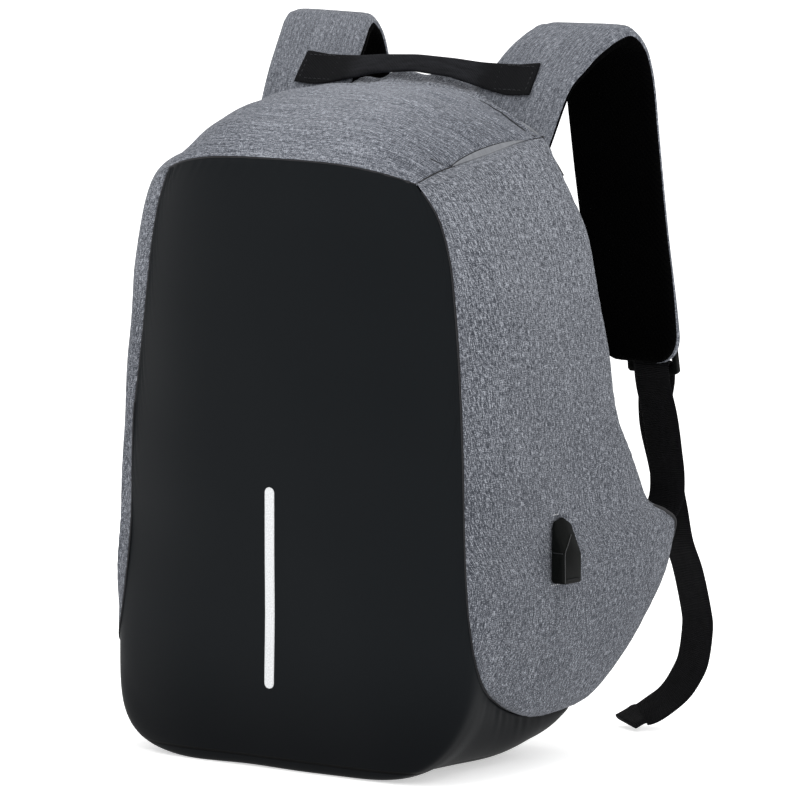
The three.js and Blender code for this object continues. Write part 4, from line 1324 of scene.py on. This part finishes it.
def over_seam(first, second, distances):
    """Points over a seam at which the rows of both grids start. Distances above 0 are
    walked into the second grid, and those below 0 into the first."""
    joined = np.concatenate([first[:, :0:-1], second], 1)
    walk = walked(joined, 1)
    walk = walk - walk[:, [first.shape[1] - 1]]
    return np.array([interpolated(*row) for row in zip(distances, walk, joined)])


def seam_cover(name, points, outward, lift, material, slot, mirrored, *stands_for):
    """A thin sheet over a seam, with a dark line of painted shade where its last column meets the
    cloth.
    """
    normal = grid_normals(points, False)
    turned = (normal @ outward).mean() < 0
    if turned:
        normal = -normal
    sheet = turned_over(raised_sheet(points, normal, lift, 0.0006), mirrored)
    ways = {"flip": turned != mirrored}
    put_piece(name, sheet, warp_along(points), material, slot, *stands_for, **ways)
    # The dark line is painted shade along the sheet's edge.
    line = tube_round(turned_over(points[:, -1], mirrored), 0.0006)
    put_tube(f"{name}_line", line, seam_shade, "seam_tape")


near_edge = np.linspace(0, 0.16, 80)
tape_shares = np.linspace(0.30, 0.84, 110)
tape_width = 0.0047 * np.sin(np.pi * np.linspace(0, 1, 110)) ** 0.8 + 0.0002
tape_depths = -0.0014 + (0.0014 + tape_width)[:, None] * np.linspace(0, 1, 13)[None]
tape = over_seam(
    side_points(tape_shares, 1 - near_edge),
    band_points(top_curve, tape_shares, 1 - near_edge),
    tape_depths,
)
for side_name, mirrored in both_sides:
    seam_cover(
        f"crescent_tape_{side_name}", tape, np.array([0.3, 0, 1.0]), 0.0012,
        seam_tape.material, "seam_tape", mirrored, f"shoulder_tape_{side_name}",
    )

# On the left the grey cloth laps round the foot of the front: height, width of the lap
lap_rows = np.array([
    [0.067, 0.0002], [0.080, 0.0110], [0.100, 0.0170], [0.127, 0.0125], [0.155, 0.0085],
    [0.190, 0.0040], [0.235, 0.0002],
])
front_shares = fold_share + (1 - fold_share) * even_shares
all_heights = band_points(wrap_curve, front_shares, seam_end)[:, 0, 2]
lap_heights = np.linspace(lap_rows[0, 0], lap_rows[-1, 0], 120)
lap_up = np.interp(lap_heights, all_heights, even_shares)
lap_width = smoothed(np.interp(lap_heights, lap_rows[:, 0], lap_rows[:, 1]))
lap_depths = -0.0030 + (0.0030 + lap_width)[:, None] * np.linspace(0, 1, 13)[None]
lap = over_seam(
    side_points(near_edge, lap_up).transpose(1, 0, 2),
    band_points(wrap_curve, fold_share + (1 - fold_share) * lap_up, 1 - near_edge),
    lap_depths,
)
lap_outward = np.array([1.0, -1.0, 0])
seam_cover("side_lap_left", lap, lap_outward, 0.0008, grey_melange, "grey_melange", True)
print("widest tape and lap:", round(tape_width.max(), 4), round(lap_width.max(), 4))


# %% [markdown]
# ## Zip
# The zip's tape and coil run across the gusset, under the sliders. Each turn of a coil
# could be a ring, but a tube that swells and narrows shows the same for fewer faces.

# %% Zip
zip_across = np.sin(np.pi / 2 * np.linspace(-0.93, 0.93, 260))
zip_rows = zip_share + np.array([-0.013, 0.0, 0.013])
zip_line, zip_normal = gusset_points(np.linspace(zip_rows[0], zip_rows[-1], 9), zip_across)
zip_tape = raised_sheet(zip_line, zip_normal, 0.0006, 0.0008)
put_piece("zip_tape", zip_tape, warp_along(zip_tape), webbing, "webbing")
coil_path = zip_line[4] + zip_normal[4] * 0.0008
coil = tube_round(resampled(coil_path, 900), 0.0013, 8)
swing = 1 + 0.28 * np.sign(np.sin(np.arange(len(coil)) * np.pi / 2 + 0.1))
coil_middle = coil.mean(1, keepdims=True)
coil = coil_middle + (coil - coil_middle) * swing[:, None, None]
put_tube("zip_coil", coil, *plastic)
print("coil rings:", len(coil))


# %% [markdown]
# ## Stitches
# A stitch is a short thread that dives into the cloth at both ends. Each row follows a
# line over a piece. One object for each stitch would be slow, so all stitches of a row are
# one mesh of small rings.


# %% Stitches
def stitched(name, path, normal, material, length=0.0027, gap=0.0013, thick=0.00045):
    """Short threads along a path; each bends down at its ends by a half sine."""
    walk = walked(path, 0)
    starts = np.arange(0.3 * gap, walk[-1] - length, length + gap)
    part = np.linspace(0, 1, 5)
    places = starts[:, None] + part[None] * length
    up = unit(interpolated(places, walk, normal))
    rise = (np.sin(np.pi * part) * 0.9 - 0.45) * thick
    centre = interpolated(places, walk, path) + up * rise[None, :, None]
    over = np.cross(unit(np.gradient(centre, axis=1)), up)
    turn = np.linspace(0, 2 * np.pi, 6, endpoint=False)
    ring = np.cos(turn)[:, None] * over[:, :, None] + np.sin(turn)[:, None] * up[:, :, None]
    slim = np.array([0.35, 0.9, 1.0, 0.9, 0.35])
    points = centre[:, :, None] + ring * (thick / 2 * slim)[None, :, None, None]
    row, column = grid_corners(5, 6, True)
    one = row * 6 + column % 6
    caps = [list(range(6))[::-1], [24 + k for k in range(6)]]
    faces = (one[None] + 30 * np.arange(len(starts))[:, None, None]).reshape(-1, 4).tolist()
    for k in range(len(starts)):
        faces += [[30 * k + corner for corner in cap] for cap in caps]
    piece = put_mesh(name, points.reshape(-1, 3), faces)
    return dress(piece, material, "webbing")


def grid_line(points, normal, distance, edge):
    """The line over a grid that stays this far from one of its four edges."""
    away = edge_distances(points)[edge]
    if edge < 2:
        away, points, normal = away.T, points.transpose(1, 0, 2), normal.transpose(1, 0, 2)
    if edge in (1, 3):
        away, points, normal = away[:, ::-1], points[:, ::-1], normal[:, ::-1]
    return [
        np.array([interpolated(distance, *row) for row in zip(away, values)])
        for values in (points, normal)
    ]


dome_normal = shell["dome"][1]
for number, edge in enumerate((1, 0)):
    line, up = grid_line(dome, dome_normal, 0.0030, edge)
    stitched(f"dome_stitches_{number}", line[14:-14], up[14:-14], grey_thread)
line, up = grid_line(gusset, gusset_normal, 0.004, 1)
stitched("gusset_stitches", line[14:-14], up[14:-14], thread)


# A box of stitches at each end of the handle: a row along each of its four sides
handle_up = np.tile(rise_out[seat], (12, 1))
box_far, box_near, box_half = handle_length / 2 - 0.003, handle_length / 2 - 0.030, 0.0095
box_places = ((box_near, -box_half), (box_far, -box_half), (box_far, box_half), (box_near, box_half))
corners = [
    end_middle + rise_out[seat] * (handle_thickness / 2 + 0.0001)
    + np.array([x, 0, 0]) + rise_down[seat] * down_face
    for x, down_face in box_places
]
steps = np.linspace(0, 1, 12)[:, None]
for side_name, mirrored in both_sides:
    for k in range(4):
        start, end = corners[k], corners[(k + 1) % 4]
        row = turned_over(start + (end - start) * steps, mirrored)
        stitched(f"handle_stitches_{side_name}_{k}", row, handle_up, thread)

# %% [markdown]
# The port's hood gets a painted highlight down the edge in its middle and one across it, a
# row of teeth near its foot, and thread that shows above and below it on the cloth. All are
# small pieces of their own, because the hood is one solid.

# %% Lines, teeth and thread
def onto(points, normal, wanted, axes):
    """The surface and its normal at wanted places, given by two of their coordinates."""
    flat, flat_normal = points.reshape(-1, 3), normal.reshape(-1, 3)
    away = ((wanted[:, None] - flat[None][..., axes]) ** 2).sum(-1)
    weight = np.exp(-(away - away.min(1, keepdims=True)) / 0.0012 ** 2)
    weight /= weight.sum(1, keepdims=True)
    found = weight @ flat
    found[:, axes] = wanted
    return found, weight @ flat_normal


def put_line(name, path, radius, material, slot):
    return put_tube(name, tube_round(resampled(np.asarray(path), 60), radius), material, slot)


hood_x, hood_y, hood_z = 0.1689, 0.0154, 0.1278
hood_bend, hood_front = 0.1487, 0.0140
# Painted highlights: thin lighter tubes along the hood's ridge and across its crease.
put_line(
    "hood_ridge",
    [[hood_x, hood_y, hood_z + 0.001], [hood_x, hood_y, hood_z + 0.010], [hood_x, hood_y, hood_bend],
     [0.1676, 0.0200, 0.1535], [0.1653, 0.0270, 0.1600]],
    0.0003, painted_edge_highlight, "moulded_black",
)
put_line(
    "hood_crease",
    [[x, hood_front, hood_bend] for x in (hood_x - 0.0012, 0.1640, 0.1600)],
    0.0003, painted_edge_highlight, "moulded_black",
)
teeth = stacked(0.1690, np.linspace(0.0175, 0.0325, 20), 0.1308)
outwards = np.tile([1.0, 0, 0], (20, 1))
stitched("hood_teeth", teeth, outwards, seam_shade, length=0.0008, gap=0.0007, thick=0.0010)
pale_stitch = {"length": 0.0014, "gap": 0.0009, "thick": 0.0007}
for number, (low_y, high_y, z) in enumerate(((0.0145, 0.0345, 0.1264), (0.0170, 0.0235, 0.1736))):
    row = stacked(np.linspace(low_y, high_y, 20), z)
    line, up = onto(side, side_normal, row, [1, 2])
    stitched(f"hood_thread_{number}", line, up, pale_thread, **pale_stitch)

# Painted shade: a dark line in the groove beside the ridge, in the dark thread's colour, and one in the
# pinched crease
line, up = grid_line(dome, dome_normal, groove_place, 1)
put_line("ridge_line", line[10:-10] + 0.0001 * up[10:-10], 0.00045, thread, "seam_tape")
crease = pinch_start - 0.001 * pinch_way + np.linspace(0, 0.0165, 20)[:, None] * pinch_way
line, up = onto(dome, dome_normal, crease, [0, 1])
put_line("pinch_line", line, 0.0005, seam_shade, "seam_tape")

# %% [markdown]
# ## Stage
# A product photo is taken on a wide pale floor with soft lamps round it. The main lamp
# stands in front on the right, so that the side and the front read apart. The floor glows
# a little, which keeps the contact shadow faint.

# %% Stage
floor_finish = Finish("floor", Roughness=0.9, Base_Color=(0.93, 0.93, 0.93, 1))
floor_finish.feed({"Emission Color": (1, 1, 1, 1), "Emission Strength": 0.50})
floor_points = 14.0 * np.array([[-1, -1, 0], [1, -1, 0], [1, 1, 0], [-1, 1, 0]])
floor = put_mesh("floor", floor_points, [[0, 1, 2, 3]])
floor.data.materials.append(floor_finish.material)

world = bpy.data.worlds.new("surround")
bpy.context.scene.world = world
world.use_nodes = True
background = world.node_tree.nodes["Background"].inputs
background["Color"].default_value, background["Strength"].default_value = (1.0, 1.0, 1.0, 1), 1.0


def soft_lamp(name, place, size, power):
    """A square lamp that faces the bag."""
    data = bpy.data.lights.new(name, "AREA")
    data.energy, data.size = power, size
    lamp = bpy.data.objects.new(name, data)
    bpy.context.scene.collection.objects.link(lamp)
    towards = np.array([0, 0.03, 0.22]) - np.array(place)
    lamp.location = place
    yaw = math.atan2(-towards[0], towards[1])
    pitch = math.atan2(towards[2], math.hypot(towards[0], towards[1])) + math.pi / 2
    lamp.rotation_euler = (pitch, 0, yaw)
    return lamp


soft_lamp("main_lamp", (1.6, -1.5, 1.5), 1.2, 9.0)
soft_lamp("fill_lamp", (-1.8, -1.2, 1.0), 1.4, 1.5)
soft_lamp("top_lamp", (0.0, 0.2, 2.2), 1.4, 15.0)

# %% Finish
bpy.context.view_layer.update()
